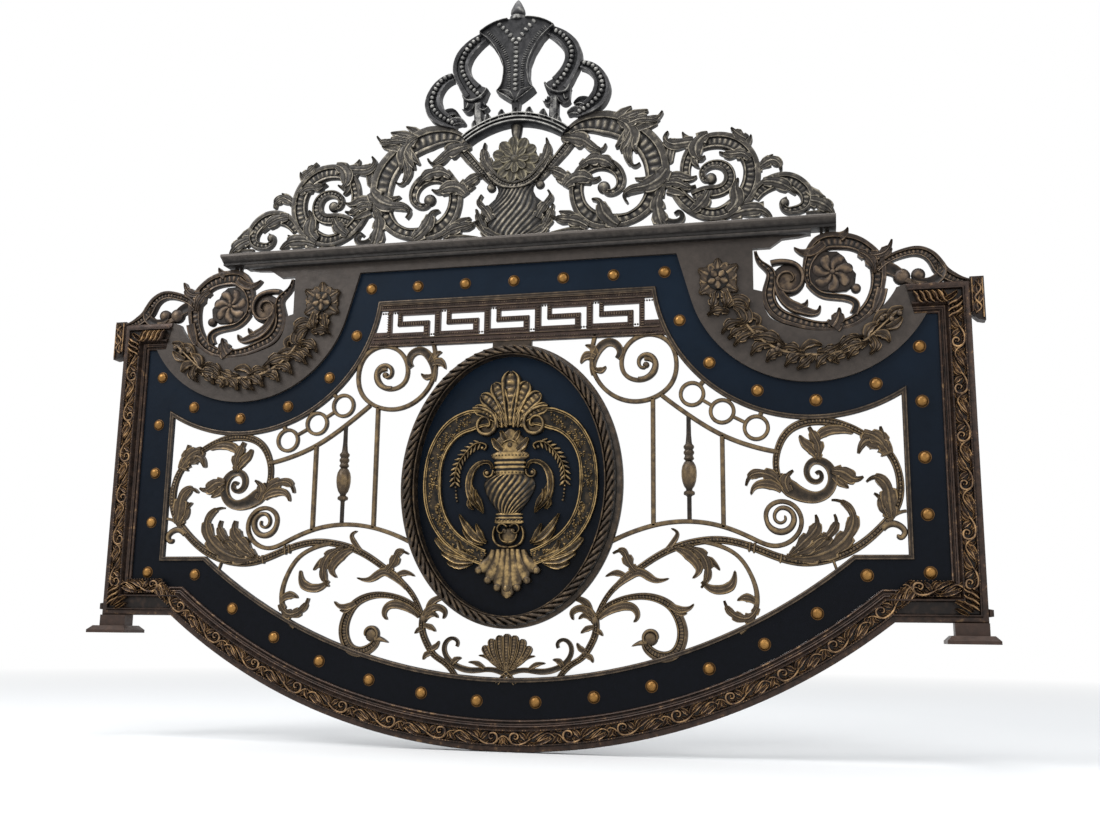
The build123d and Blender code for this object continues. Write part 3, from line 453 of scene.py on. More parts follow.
        # Painted highlight on each rib and painted shade between ribs
        lit = sine**2 * 1.3 if ribs else 1
        rings = np.zeros((len(line), across + 2, 3))
        rings[:, 1:-1, 0] = line[:, 1, None] * np.sin(angle)
        rings[:, 1:-1, 1] = floor + rise * np.cos(angle) * (0.7 + 0.3 * wave)
        rings[:, 1:-1, 2] = line[:, 0, None]
        rings[:, 0], rings[:, -1] = rings[:, 1], rings[:, -2]
        rings[:, [0, -1], 1] = self.own_back()
        shades = np.full(rings.shape[:2], BACK_SHADE)
        # Painted light: bright where the shape faces front, shaded towards its sides and in the
        # grooves between its swellings
        bulge = np.gradient(np.gradient(line[:, 1]))[:, None] if not ribs else 0
        shades[:, 1:-1] = np.clip((0.15 + 0.6 * np.cos(angle)) * lit - bulge, 0, 1)
        self.loft(rings, shades)

    def lathe(self, x, out, profile, sides=24):
        """A turned shape about an upright line, from radii and heights."""
        turn = np.linspace(0, 2 * pi, sides, endpoint=False)
        profile = np.array(profile, float)
        rings = np.zeros((len(profile), sides, 3))
        rings[..., 0] = x + profile[:, 0, None] * np.cos(turn)
        rings[..., 1] = out + profile[:, 0, None] * np.sin(turn)
        rings[..., 2] = profile[:, 1, None]
        widest = profile[:, 0].max()
        # Painted light: brightest where the turned shape is widest, shaded where it narrows
        self.loft(rings, (0.75 * profile[:, 0] / widest)[:, None])

    def sweep(self, path, profile, back, loop=False):
        """A moulding along a path, its profile measured to the right of the way it runs.

        Each point of the profile has an offset, a depth and, if it is known, a brightness."""
        path = np.array(path, float)
        ahead = np.diff(np.vstack([path, path[:1]]) if loop else path, axis=0)
        ahead /= np.linalg.norm(ahead, axis=1)[:, None]
        if loop:
            before, after = np.roll(ahead, 1, axis=0), ahead
        else:
            before, after = np.vstack([ahead[:1], ahead]), np.vstack([ahead, ahead[-1:]])
        mitre = np.stack([(before + after)[:, 1], -(before + after)[:, 0]], axis=1)
        mitre /= 1 + (before * after).sum(axis=1)[:, None]
        ends = [(profile[k][0], back, *profile[k][2:]) for k in (0, -1)]
        profile = np.array([ends[0], *profile, ends[1]], float)
        plan = path[:, None, :] + mitre[:, None, :] * profile[None, :, 0, None]
        rings = np.zeros((len(path), len(profile), 3))
        rings[..., 0], rings[..., 2], rings[..., 1] = plan[..., 0], plan[..., 1], profile[:, 1]
        # Painted light: raised parts of the profile brighter, hollows darker, unless the profile
        # gives its own brightness
        top = profile[:, 1].max()
        low = profile[1:-1, 1].min()
        shades = np.clip((profile[:, 1] - low) / (top - low), 0, 1) * 0.8
        if profile.shape[1] == 3:
            shades = profile[:, 2].copy()
        shades[[0, -1]] = BACK_SHADE
        self.loft(rings, shades[None, :], loop)

    def moulding(self, corners):
        """A length of moulding through corners, each given by its inner and its outer edge."""
        section = np.array([(0, MOULDING_BACK, BACK_SHADE), *MOULDING_PROFILE,
                            (MOULDING, MOULDING_BACK, BACK_SHADE)])
        rings = np.zeros((len(corners), len(section), 3))
        rings[..., 1] = section[:, 1]
        for ring, (inner, outer) in zip(rings, np.array(corners, float)):
            ring[:, [0, 2]] = inner + (outer - inner) * section[:, :1] / MOULDING
        self.loft(rings, section[None, :, 2])

    def join_both(self, half):
        """Adds a right half and its mirror image."""
        half.mirror()
        self.add(np.vstack(half.points), np.concatenate(half.shades), half.faces)

    def mirror(self):
        """Adds the mirror image of everything so far."""
        points, shades = np.vstack(self.points), np.concatenate(self.shades)
        faces = [face[::-1] for face in self.faces]
        self.add(points * (-1, 1, 1) + (0, BACK_STEP / 2, 0), shades, faces)

    def mesh(self, name, side=1):
        """A mesh in metres in the panel's frame, closed and turned outwards."""
        points = np.vstack(self.points)
        place = np.stack([MIDDLE + side * points[:, 0] * MM, -points[:, 1] * MM,
                          points[:, 2] * MM], axis=1)
        return build_mesh(name, place, self.faces, np.concatenate(self.shades))


def build_mesh(name, place, faces, shades):
    mesh = bpy.data.meshes.new(name)
    mesh.from_pydata(place.tolist(), [], faces)
    # relief: each point's level of painted light and shade, also carrying the gilding on raised
    # parts
    relief = mesh.attributes.new("relief", "FLOAT", "POINT")
    relief.data.foreach_set("value", np.asarray(shades, "f"))
    shell = bmesh.new()
    shell.from_mesh(mesh)
    bmesh.ops.remove_doubles(shell, verts=shell.verts, dist=1e-6)
    bmesh.ops.dissolve_degenerate(shell, edges=shell.edges, dist=1e-6)
    bmesh.ops.recalc_face_normals(shell, faces=shell.faces)
    shell.to_mesh(mesh)
    shell.free()
    mesh.shade_smooth()
    mesh.set_sharp_from_angle(angle=radians(42))
    return mesh


def show(name, mesh, material, nodes):
    """Puts a finished mesh in the scene, in the place of the CAD nodes it stands for."""
    piece = bpy.data.objects.new(name, mesh)
    bpy.context.collection.objects.link(piece)
    mesh.materials.clear()
    mesh.materials.append(material)
    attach(piece, "root")
    if nodes:
        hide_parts(*nodes)
    return piece


def single(name, casting, material, stands_for=True):
    """A piece on the middle line, or one that is the same on both sides."""
    piece_name = name + "_cast" if stands_for else name
    show(piece_name, casting.mesh(piece_name), material, [name] if stands_for else [])


def pair(name, casting, material, stands_for=True):
    """The right piece as drawn, and the left piece as its mirror image."""
    for side, word in ((1, "right_"), (-1, "left_")):
        nodes = [word + name] if stands_for else []
        piece_name = word + name + ("_cast" if stands_for else "")
        show(piece_name, casting.mesh(piece_name, side), material, nodes)


def srgb(red, green, blue):
    """A colour as it shows on a screen, from 0 to 255, given as light."""
    light = [(c / 255 / 12.92) if c < 11 else ((c / 255 + 0.055) / 1.055) ** 2.4
             for c in (red, green, blue)]
    return (*light, 1)


def set_inputs(tree, node, inputs):
    """Sets each input to a value, or links it to the socket given for it."""
    for name, value in inputs.items():
        if isinstance(value, bpy.types.NodeSocket):
            tree.links.new(value, node.inputs[name])
        else:
            node.inputs[name].default_value = value


def add_node(tree, kind, inputs=None, **settings):
    node = tree.nodes.new(kind)
    for name, value in settings.items():
        setattr(node, name, value)
    set_inputs(tree, node, inputs or {})
    return node


def combine(tree, operation, first, second):
    return add_node(tree, "ShaderNodeMath", {0: first, 1: second}, operation=operation).outputs[0]


def repeat_tree(title, along_path):
    """Nodes that set a unit on every point, or at an even spacing along a path."""
    tree = bpy.data.node_groups.new(title, "GeometryNodeTree")
    tree.is_modifier = True
    for name, kind in (("Path", "Geometry"), ("Unit", "Object"), ("Finish", "Material"),
                       ("Spacing", "Float"), ("Variation", "Float"), ("Seed", "Int")):
        tree.interface.new_socket(name, in_out="INPUT", socket_type="NodeSocket" + kind)
    tree.interface.new_socket("Geometry", in_out="OUTPUT", socket_type="NodeSocketGeometry")
    given = tree.nodes.new("NodeGroupInput").outputs
    unit = add_node(tree, "GeometryNodeObjectInfo", {"Object": given["Unit"], "As Instance": True})
    smallest = combine(tree, "SUBTRACT", 1, given["Variation"])
    chance = add_node(tree, "FunctionNodeRandomValue", {"Seed": given["Seed"]}, data_type="FLOAT")
    low, high = [socket for socket in chance.inputs if socket.enabled][:2]
    tree.links.new(smallest, low)
    high.default_value = 1
    size = next(socket for socket in chance.outputs if socket.enabled)
    if along_path:
        curve = add_node(tree, "GeometryNodeMeshToCurve", {"Mesh": given["Path"]})
        even = add_node(tree, "GeometryNodeResampleCurve",
                        {"Curve": curve.outputs["Curve"], "Length": given["Spacing"]},
                        mode="LENGTH")
        tangent = tree.nodes.new("GeometryNodeInputTangent")
        turn = add_node(tree, "FunctionNodeAlignRotationToVector",
                        {"Vector": tangent.outputs["Tangent"]}, axis="X", pivot_axis="Y")
        places = {"Points": even.outputs["Curve"], "Rotation": turn.outputs["Rotation"]}
    else:
        points = add_node(tree, "GeometryNodeMeshToPoints", {"Mesh": given["Path"]})
        places = {"Points": points.outputs["Points"]}
    instances = add_node(tree, "GeometryNodeInstanceOnPoints",
                         {"Instance": unit.outputs["Geometry"], "Scale": size, **places})
    realize = add_node(tree, "GeometryNodeRealizeInstances",
                       {"Geometry": instances.outputs["Instances"]})
    coated = add_node(tree, "GeometryNodeSetMaterial",
                      {"Geometry": realize.outputs["Geometry"], "Material": given["Finish"]})
    add_node(tree, "NodeGroupOutput", {"Geometry": coated.outputs["Geometry"]})
    return tree


def repeated(casting, paths, unit, spacing=None, variation=0.03, loop=False):
    """Adds a unit to a casting, set along paths or, where no spacing is given, on points."""
    title = "Repeat along path" if spacing else "Set on points"
    tree = bpy.data.node_groups.get(title) or repeat_tree(title, bool(spacing))
    unit_mesh = unit.mesh("unit")
    unit_mesh.transform(Matrix.Translation((-MIDDLE, 0, 0)))
    unit_object = bpy.data.objects.new("unit", unit_mesh)
    points, edges = [], []
    for path in paths:
        start = len(points)
        points += [(x * MM, -out * MM, z * MM) for x, out, z in path]
        if spacing:
            edges += [(i, i + 1) for i in range(start, len(points) - 1)]
            if loop:
                edges.append((len(points) - 1, start))
    guide_mesh = bpy.data.meshes.new("guide")
    guide_mesh.from_pydata(points, edges, [])
    guide = bpy.data.objects.new("guide", guide_mesh)
    for helper in (unit_object, guide):
        bpy.context.collection.objects.link(helper)
    modifier = guide.modifiers.new("repeat", "NODES")
    modifier.node_group = tree
    values = {"Unit": unit_object, "Finish": finish("gold"), "Spacing": (spacing or 1) * MM,
              "Variation": variation, "Seed": REPEAT_SEED}
    for item in tree.interface.items_tree:
        if item.in_out == "INPUT" and item.name in values:
            modifier[item.identifier] = values[item.name]
    evaluated = guide.evaluated_get(bpy.context.evaluated_depsgraph_get())
    mesh = bpy.data.meshes.new_from_object(evaluated)
    places = np.zeros(len(mesh.vertices) * 3)
    mesh.vertices.foreach_get("co", places)
    shades = np.zeros(len(mesh.vertices))
    mesh.attributes["relief"].data.foreach_get("value", shades)
    faces = [list(polygon.vertices) for polygon in mesh.polygons]
    for helper in (unit_object, guide):
        bpy.data.objects.remove(helper)
    for used in (mesh, unit_mesh, guide_mesh):
        bpy.data.meshes.remove(used)
    places = places.reshape(-1, 3) / MM
    casting.add(np.stack([places[:, 0], -places[:, 1], places[:, 2]], axis=1), shades, faces)


def bead_unit(length, width, floor, rise, sides=8):
    """A small bead, longer along its path where length and width differ."""
    unit = Casting(floor - 1, floor, floor + rise)
    unit.dome(0, 0, 1, rise=rise, floor=floor, sides=sides, levels=3)
    unit.points[0] = unit.points[0] * (length / 2, 1, width / 2)
    return unit


# Finishes
def colour_mix(tree, factor, first, second, blend="MIX"):
    mix = add_node(tree, "ShaderNodeMix", {0: factor, 6: first, 7: second}, data_type="RGBA",
                   blend_type=blend)
    return mix.outputs[2]


def noise(tree, place, scale, detail=4.0, roughness=0.55):
    texture = add_node(tree, "ShaderNodeTexNoise", {
        "Scale": scale, "Detail": detail, "Roughness": roughness, "Vector": place})
    return texture.outputs["Fac"]


def ranged(tree, value, low, high, from_low=0.3, from_high=0.7):
    node = add_node(tree, "ShaderNodeMapRange", {
        "Value": value, "From Min": from_low, "From Max": from_high, "To Min": low,
        "To Max": high})
    return node.outputs["Result"]


def background_rays(tree):
    """1 for the rays that show the background: seen by the camera, mirrored or through glass."""
    rays = tree.nodes.new("ShaderNodeLightPath").outputs
    seen = combine(tree, "MAXIMUM", rays["Is Camera Ray"], rays["Is Glossy Ray"])
    return combine(tree, "MAXIMUM", seen, rays["Is Transmission Ray"])


def patina_and_painted_light(name, deep, body, bright, metallic=0.5, roughness=0.42, base=0.0, depth=1.0,
           top=None, gloss=0.4, worn=1.0):
    """Painted and worn metal with painted light: dark in the hollows and bright where the relief
    stands out, partly the casting's own patina and gilding, partly painted shade and painted
    highlight.
    """
    material = bpy.data.materials.new(name)
    material.use_nodes = True
    tree = material.node_tree
    place = tree.nodes.new("ShaderNodeTexCoord").outputs["Object"]
    # relief: each point's level of painted light (painted shade in hollows and on turned-away sides,
    # painted highlights on crowns and rims), together with the gilding on raised parts
    relief = add_node(tree, "ShaderNodeAttribute", attribute_name="relief").outputs["Fac"]
    wear = ranged(tree, noise(tree, place, 62.0), -0.4 * worn, 0.2 * worn)
    level = combine(tree, "ADD", combine(tree, "ADD", relief, wear), base)
    # Ramp: deep for painted shade and dark patina, then body, then bright for painted highlights and
    # gilding
    ramp = add_node(tree, "ShaderNodeValToRGB", {"Fac": level})
    stops = ramp.color_ramp.elements
    stops[0].position, stops[0].color = 0.1, deep
    stops[1].position, stops[1].color = 1, bright
    stops.new(0.58).color = body
    colour = ramp.outputs["Color"]
    # Painted sky light: the colour turns paler towards the top of the object
    if top:
        height = add_node(tree, "ShaderNodeSeparateXYZ", {0: place}).outputs["Z"]
        colour = colour_mix(tree, ranged(tree, height, 0, 1, *top[1:]), colour, top[0])
    patches = ranged(tree, noise(tree, place, 7.0, 6.0, 0.62), 0.82, 1.18)
    grey = add_node(tree, "ShaderNodeCombineColor", {0: patches, 1: patches, 2: patches})
    colour = colour_mix(tree, 1.0, colour, grey.outputs["Color"], "MULTIPLY")
    grain = add_node(tree, "ShaderNodeBump", {
        "Strength": 0.35 * depth, "Distance": 0.0006,
        "Height": noise(tree, place, 260.0, 3.0)})
    beaten = add_node(tree, "ShaderNodeBump", {
        "Strength": 0.3 * depth, "Distance": 0.002, "Height": noise(tree, place, 48.0, 2.0),
        "Normal": grain.outputs["Normal"]})
    rough = ranged(tree, noise(tree, place, 55.0, 3.0), roughness - 0.1, roughness + 0.14)
    set_inputs(tree, tree.nodes["Principled BSDF"], {
        "Base Color": colour, "Roughness": rough, "Metallic": metallic,
        "Specular IOR Level": gloss, "Normal": beaten.outputs["Normal"]})
    return material


# Each finish runs from deep through body to bright along the relief level: deep carries painted
# shade as well as dark patina, bright carries painted highlights as well as gilding
FINISHES = {
    "bronze": dict(deep=(22, 16, 13), body=(60, 44, 35), bright=(176, 140, 96), metallic=0.45,
                   worn=0.8),
    "plain": dict(deep=(30, 24, 21), body=(60, 44, 36), bright=(86, 66, 54), metallic=0.35,
                  base=0.55, worn=0.5),
    "plate": dict(deep=(36, 32, 29), body=(61, 54, 49), bright=(80, 71, 64), metallic=0.35,
                  base=0.55, worn=0.4),
    "cornice": dict(deep=(18, 17, 16), body=(46, 43, 41), bright=(86, 80, 75), metallic=0.35,
                    base=0.3, worn=0.5),
    "rim": dict(deep=(22, 18, 16), body=(58, 49, 41), bright=(110, 93, 73), metallic=0.5,
                worn=0.6),
    "casting": dict(deep=(16, 15, 15), body=(60, 56, 51), bright=(152, 143, 126), metallic=0.4,
                    worn=0.7),
    "crown": dict(deep=(14, 15, 18), body=(56, 55, 56), bright=(162, 160, 154), metallic=0.4,
                  worn=0.7),
    "dark": dict(deep=(15, 12, 10), body=(52, 42, 35), bright=(122, 102, 80), metallic=0.45,
                 worn=0.6),
    "olive": dict(deep=(14, 13, 11), body=(60, 55, 45), bright=(124, 116, 94), metallic=0.4,
                  worn=0.7),
    "swag": dict(deep=(16, 13, 10), body=(66, 54, 42), bright=(138, 115, 84), metallic=0.45,
                 worn=0.7),
    "gold": dict(deep=(11, 10, 9), body=(72, 59, 41), bright=(170, 142, 94), metallic=0.5,
                 roughness=0.36, worn=0.8),
    "relief": dict(deep=(22, 18, 14), body=(72, 59, 44), bright=(138, 115, 80), metallic=0.45,
                   worn=0.5),
    "stud": dict(deep=(26, 17, 9), body=(98, 68, 32), bright=(150, 110, 56), metallic=0.7,
                 roughness=0.34, base=0.2, worn=0.5),
    # navy and oval grow paler towards the top as painted light from the sky
    "navy": dict(deep=(3, 5, 10), body=(5, 7, 14), bright=(8, 12, 22), metallic=0.0,
                 roughness=0.42, base=0.4, depth=0.4, gloss=0.1, top=((12, 25, 38), 0.1, 1.0)),
    "oval": dict(deep=(3, 5, 10), body=(5, 8, 16), bright=(9, 13, 24), metallic=0.0,
                 roughness=0.42, base=0.4, depth=0.4, gloss=0.1, top=((14, 28, 42), 0.2, 0.85)),
}


def finish(name):
    """The finish of this name, made on its first use."""
    made = bpy.data.materials.get("fence_" + name)
    if made:
        return made
    values = dict(FINISHES[name])
    for key in ("deep", "body", "bright"):
        values[key] = srgb(*values[key])
    if "top" in values:
        values["top"] = (srgb(*values["top"][0]), *values["top"][1:])
    return patina_and_painted_light("fence_" + name, **values)


def coat(node, material):
    """Gives a CAD node that keeps its shape a finish."""
    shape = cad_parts[node]
    shape.data.materials.clear()
    shape.data.materials.append(material)


# Strokes are given as kind, points, widths and, for some, how far they are lifted
MOULDING_UNIT_LENGTH = 129
MOULDING_UNIT = [
    ("round", [(74, -2), (66, 6), (56, 9), (46, 5), (38, -1), (26, -11)], (5, 7, 8, 7, 6)),
    ("round", [(10, -2), (-2, -10), (-14, -15), (-28, -16), (-40, -12), (-51, 1), (-60, 8),
               (-70, 9)], (6, 8, 9, 9, 8, 7, 5)),
    ("round", [(-40, -11), (-46, 2), (-42, 11), (-30, 13), (-23, 6), (-28, -2), (-35, 2)],
     (6, 8, 9, 9, 8, 7, 6), 1),
    ("leaf", [(66, -2), (47, -10), (26, -15), (12, -15)], (8, 14, 12, 4), 1),
    ("leaf", [(52, 6), (36, -3), (20, -11)], (8, 14, 4), 2),
    ("leaf", [(44, 14), (30, 11), (14, 3), (4, -4)], (5, 12, 14, 6), 1),
    ("leaf", [(2, -2), (10, 9), (24, 14)], (8, 13, 4), 2),
    ("leaf", [(-4, -4), (-12, 8), (-20, 15)], (8, 14, 5), 2),
    ("leaf", [(-52, 4), (-58, -6), (-50, -14)], (7, 12, 4), 1),
    ("leaf", [(-58, 6), (-66, -4), (-76, -13)], (7, 13, 4), 1),
    ("leaf", [(62, 6), (72, 12), (80, 15)], (7, 12, 4)),
    ("leaf", [(30, 14), (42, 16), (54, 14)], (4, 9, 4)),
    ("leaf", [(-2, 6), (6, 14), (16, 17)], (4, 9, 4)),
    ("leaf", [(2, -10), (14, -16), (26, -17)], (4, 9, 4)),
    ("leaf", [(-22, -4), (-18, -9), (-6, -10)], (5, 10, 4)),
    ("leaf", [(-40, -4), (-36, -9), (-24, -10)], (5, 9, 4)),
    ("leaf", [(-44, 15), (-52, 17), (-60, 14)], (4, 9, 4)),
]
MOULDING_BUDS = [(61, -4), (-10, 2), (-32, 6), (40, -14)]
BRACKET = [(1198, 829), (1198, 915), (1232, 915), (1232, 800), (1227, 800), (1214, 803),
           (1203, 813)]
BRACKET_RELIEF = [
    ("round", [(1202, 822), (1202, 911)], (6,)),
    ("round", [(1227, 806), (1227, 911)], (6,)),
    ("round", [(1208, 818), (1222, 836), (1208, 856), (1222, 878), (1210, 902)], (6, 9, 6)),
    ("leaf", [(1216, 820), (1208, 838), (1214, 850)], (8, 14, 3), 1),
    ("leaf", [(1214, 846), (1222, 858), (1216, 872)], (8, 14, 3), 1),
    ("leaf", [(1216, 866), (1208, 880), (1214, 894)], (8, 14, 3), 1),
    ("leaf", [(1214, 890), (1222, 898), (1216, 908)], (8, 12, 3), 1),
]

VOLUTE = [
    ("bar", [(232, 812), (223, 770), (222, 735), (237, 688), (276, 645), (330, 624), (395, 634),
             (437, 668), (451, 730), (428, 785), (377, 806), (326, 785), (304, 738), (312, 700),
             (349, 681), (388, 698), (392, 728), (366, 740)], (12,)),
    ("round", [(349, 684), (378, 690), (394, 712), (390, 740), (370, 750), (352, 738), (354, 718),
               (370, 714)], (12, 16, 18, 16, 14, 12, 10, 8), 3),
    ("scoop", [(228, 700), (226, 735), (240, 768), (262, 787), (286, 784), (300, 762), (292, 742)],
     (14, 18, 22, 24, 22, 20, 14), 2),
    ("leaf", [(232, 748), (212, 754), (192, 732)], (16, 26, 5), 3),
    ("leaf", [(236, 756), (222, 776), (204, 782)], (14, 20, 5), 2),
    ("leaf", [(230, 716), (250, 712), (262, 722)], (12, 18, 5), 3),
]
LEAF_SCROLL = [
    ("stem", [(240, 60), (275, 120), (343, 177), (427, 228), (506, 251), (559, 254), (638, 236),
              (717, 206), (770, 197), (830, 205), (900, 235), (960, 285), (1000, 340),
              (1008, 400), (996, 450), (965, 492)], (12, 17, 20, 20, 22, 22, 20, 18)),
    ("leaf", [(984, 465), (965, 492), (935, 502), (910, 470)], (24, 50, 44, 8), 4),
    ("leaf", [(982, 470), (972, 505), (966, 537)], (24, 34, 6), 3),
    ("leaf", [(975, 480), (950, 512), (925, 520)], (24, 42, 24), 5),
    ("stem", [(930, 516), (870, 546), (800, 556), (740, 534), (712, 490), (706, 430),
              (718, 396)], (16, 22, 22, 18, 16)),
    ("scoop", [(712, 420), (728, 394), (747, 378), (775, 364), (803, 360), (832, 374), (845, 404),
               (839, 434), (820, 451), (798, 452), (784, 438), (782, 418), (792, 403), (808, 400),
               (818, 412), (812, 424), (804, 420)],
     (18, 38, 44, 38, 32, 28, 26, 25, 24, 22, 20, 18, 16, 14, 12, 10), 2),
    ("round", [(636, 248), (632, 222)], (7,), 3),
    ("round", [(648, 246), (644, 219)], (7,), 3),
    ("round", [(714, 218), (709, 194)], (7,), 3),
    ("round", [(990, 472), (964, 462)], (7,), 3),
    ("leaf", [(720, 385), (682, 420), (645, 420), (628, 392)], (20, 36, 28, 6), 3),
    ("leaf", [(718, 378), (680, 396), (655, 392), (640, 368)], (16, 28, 20, 5), 5),
    ("leaf", [(736, 374), (728, 405), (748, 429)], (24, 34, 6), 4),
    ("leaf", [(843, 426), (875, 420), (900, 404), (920, 410)], (14, 44, 34, 6), 4),
    ("leaf", [(848, 412), (866, 396), (884, 382)], (16, 24, 5), 2),
    ("leaf", [(810, 456), (796, 484), (778, 500), (766, 520)], (12, 30, 26, 8), 3),
    ("leaf", [(810, 456), (812, 492), (800, 520), (790, 540)], (12, 30, 30, 10), 4),
    ("leaf", [(800, 498), (830, 528), (870, 532), (900, 522)], (10, 28, 24, 10), 3),
    ("leaf", [(725, 212), (825, 222), (880, 268), (890, 318), (866, 347), (840, 352)],
     (14, 40, 52, 44, 24, 5), 3),
    ("leaf", [(790, 226), (830, 262), (850, 296), (846, 316)], (14, 36, 26, 6), 5),
    ("leaf", [(743, 216), (790, 240), (812, 256), (834, 254)], (14, 38, 30, 8), 6),
    ("leaf", [(735, 216), (775, 252), (802, 286), (800, 315)], (12, 34, 38, 6), 8),
    ("leaf", [(984, 308), (980, 350), (972, 390), (950, 408), (927, 397)], (20, 48, 42, 26, 6), 4),
    ("leaf", [(986, 312), (966, 328), (960, 352), (944, 368)], (20, 32, 22, 5), 3),
    ("round", [(960, 280), (984, 292), (1006, 284), (1014, 268), (1004, 257), (996, 265)],
     (20, 18, 16, 14, 12), 1),
    ("bar", [(976, 300), (1000, 318), (1020, 323)], (12, 8)),
    ("round", [(838, 208), (844, 188), (850, 170)], (8, 7)),
    ("leaf", [(420, 226), (440, 250), (450, 272), (434, 284)], (14, 14, 5), 1),
    ("leaf", [(340, 176), (322, 200), (308, 226), (282, 220)], (18, 32, 22, 5), 3),
    ("leaf", [(318, 156), (300, 168), (262, 160)], (14, 18, 4), 1),
    ("leaf", [(285, 128), (315, 156), (352, 172), (390, 152), (428, 156)], (12, 24, 22, 4), 2),
    ("leaf", [(446, 232), (490, 206), (505, 180), (488, 156)], (12, 30, 24, 5), 2),
    ("leaf", [(470, 238), (520, 206), (528, 168), (510, 132)], (12, 32, 28, 5), 4),
    ("leaf", [(500, 210), (540, 196), (558, 176)], (10, 22, 5), 1),
    ("leaf", [(512, 148), (545, 128), (580, 134), (596, 176)], (10, 24, 26, 6), 3),
    ("bar", [(510, 250), (560, 238), (600, 216), (636, 165), (650, 110), (640, 62), (606, 20)],
     (12, 11, 11, 14, 12)),
    ("leaf", [(650, 84), (624, 56), (590, 66), (568, 100)], (18, 30, 26, 6), 3),
    ("leaf", [(648, 96), (622, 108), (600, 100)], (16, 24, 5), 2),
]
SPRAY = [
    ("channel", [(236, 56), (268, 86), (301, 101), (332, 108), (366, 110), (401, 103), (431, 86),
                 (452, 56), (461, 25), (457, -9), (440, -34), (409, -42), (383, -32), (367, -14),
                 (368, 8)],
     (8, 12, 14, 16, 18, 20, 22, 24, 26, 28, 28, 28, 28, 24, 16)),
    ("round", [(364, -6), (362, 10), (372, 22), (388, 22), (397, 12), (396, 0)], (8, 9, 9, 6), 5),
    ("round", [(370, -6), (350, -9), (331, -17)], (18, 12, 3), 2),
    ("leaf", [(430, 88), (458, 77), (478, 80), (491, 92)], (18, 20, 14, 4), 2),
    ("leaf", [(444, 76), (462, 66), (474, 69)], (14, 14, 4), 2),
    ("leaf", [(246, 52), (280, 76), (312, 85), (338, 78), (346, 60), (336, 44)],
     (10, 18, 24, 24, 16, 6), 2),
    ("leaf", [(232, 50), (218, 70), (194, 78), (174, 66), (178, 48)], (18, 24, 20, 16, 6), 2),
    ("leaf", [(226, 50), (206, 60), (192, 50)], (14, 16, 5), 3),
    ("leaf", [(222, 60), (210, 92), (180, 104), (150, 96)], (16, 20, 14, 8), 1),
    ("stem", [(236, 48), (236, 16), (222, -18), (200, -48), (172, -66), (140, -100)],
     (18, 18, 18, 16, 16, 14), 1),
    ("leaf", [(232, 30), (214, 26), (198, 14)], (12, 16, 5), 2),
    ("leaf", [(234, 24), (246, 18), (256, 8)], (12, 14, 4), 2),
    ("leaf", [(214, -32), (196, -24), (188, -10)], (12, 16, 5), 2),
    ("leaf", [(206, -42), (222, -46), (230, -60)], (12, 16, 5), 2),
    ("leaf", [(150, -70), (140, -58), (124, -54)], (12, 16, 5), 2),
]
SHELL_SIDE = [
    ("scoop", [(4, -92), (45, -82), (90, -85), (130, -78), (162, -56), (173, -28), (164, -8),
               (148, -3), (136, -12), (138, -24)], (16, 14, 14, 16, 17, 15, 13, 12, 10, 8)),
    ("band", [(6, -88), (-12, -102), (-24, -118)], (12, 10), 1),
    ("leaf", [(16, -78), (44, -54), (76, -46)], (8, 16, 4), 2),
    ("leaf", [(60, -80), (84, -66), (104, -64)], (8, 14, 4), 2),
]
GRILLE = [
    ("bar", [(412, 637), (465, 595), (568, 527), (645, 495), (712, 478)], (12,)),
    ("bar", [(270, 248), (345, 280), (400, 295), (480, 302), (560, 290), (640, 258), (697, 238),
             (742, 254), (765, 298), (746, 340), (708, 350), (680, 330), (678, 302),
             (690, 283)], (12,)),
    ("round", [(678, 312), (682, 292), (700, 276), (724, 275), (742, 290), (746, 312), (734, 330),
               (714, 334), (700, 322), (700, 304), (714, 296), (725, 304), (723, 315)],
     (10, 14, 17, 17, 16, 15, 13, 12, 10, 9, 8, 7), 2),
    ("bar", [(388, 292), (388, 630)], (12,)),
    ("bar", [(569, 286), (569, 526)], (12,)),
]
RING_PLACES = [(492, 638), (570, 589), (657, 543)]
RING_RADIUS = 35
BALUSTER_PLACE = 482
# Radius and height
BALUSTER = [(6, 302), (6, 366), (9, 369), (14, 371), (15, 375), (14, 379), (8, 383), (9, 387),
            (14, 394), (18, 406), (20, 420), (20, 434), (18, 446), (13, 456), (9, 460),
            (12, 463), (14, 466), (12, 470), (10.5, 474), (14, 480), (14, 484), (10.5, 489),
            (14, 495), (14, 499), (9, 505), (8, 512), (6.5, 530), (6, 560), (6, 583)]

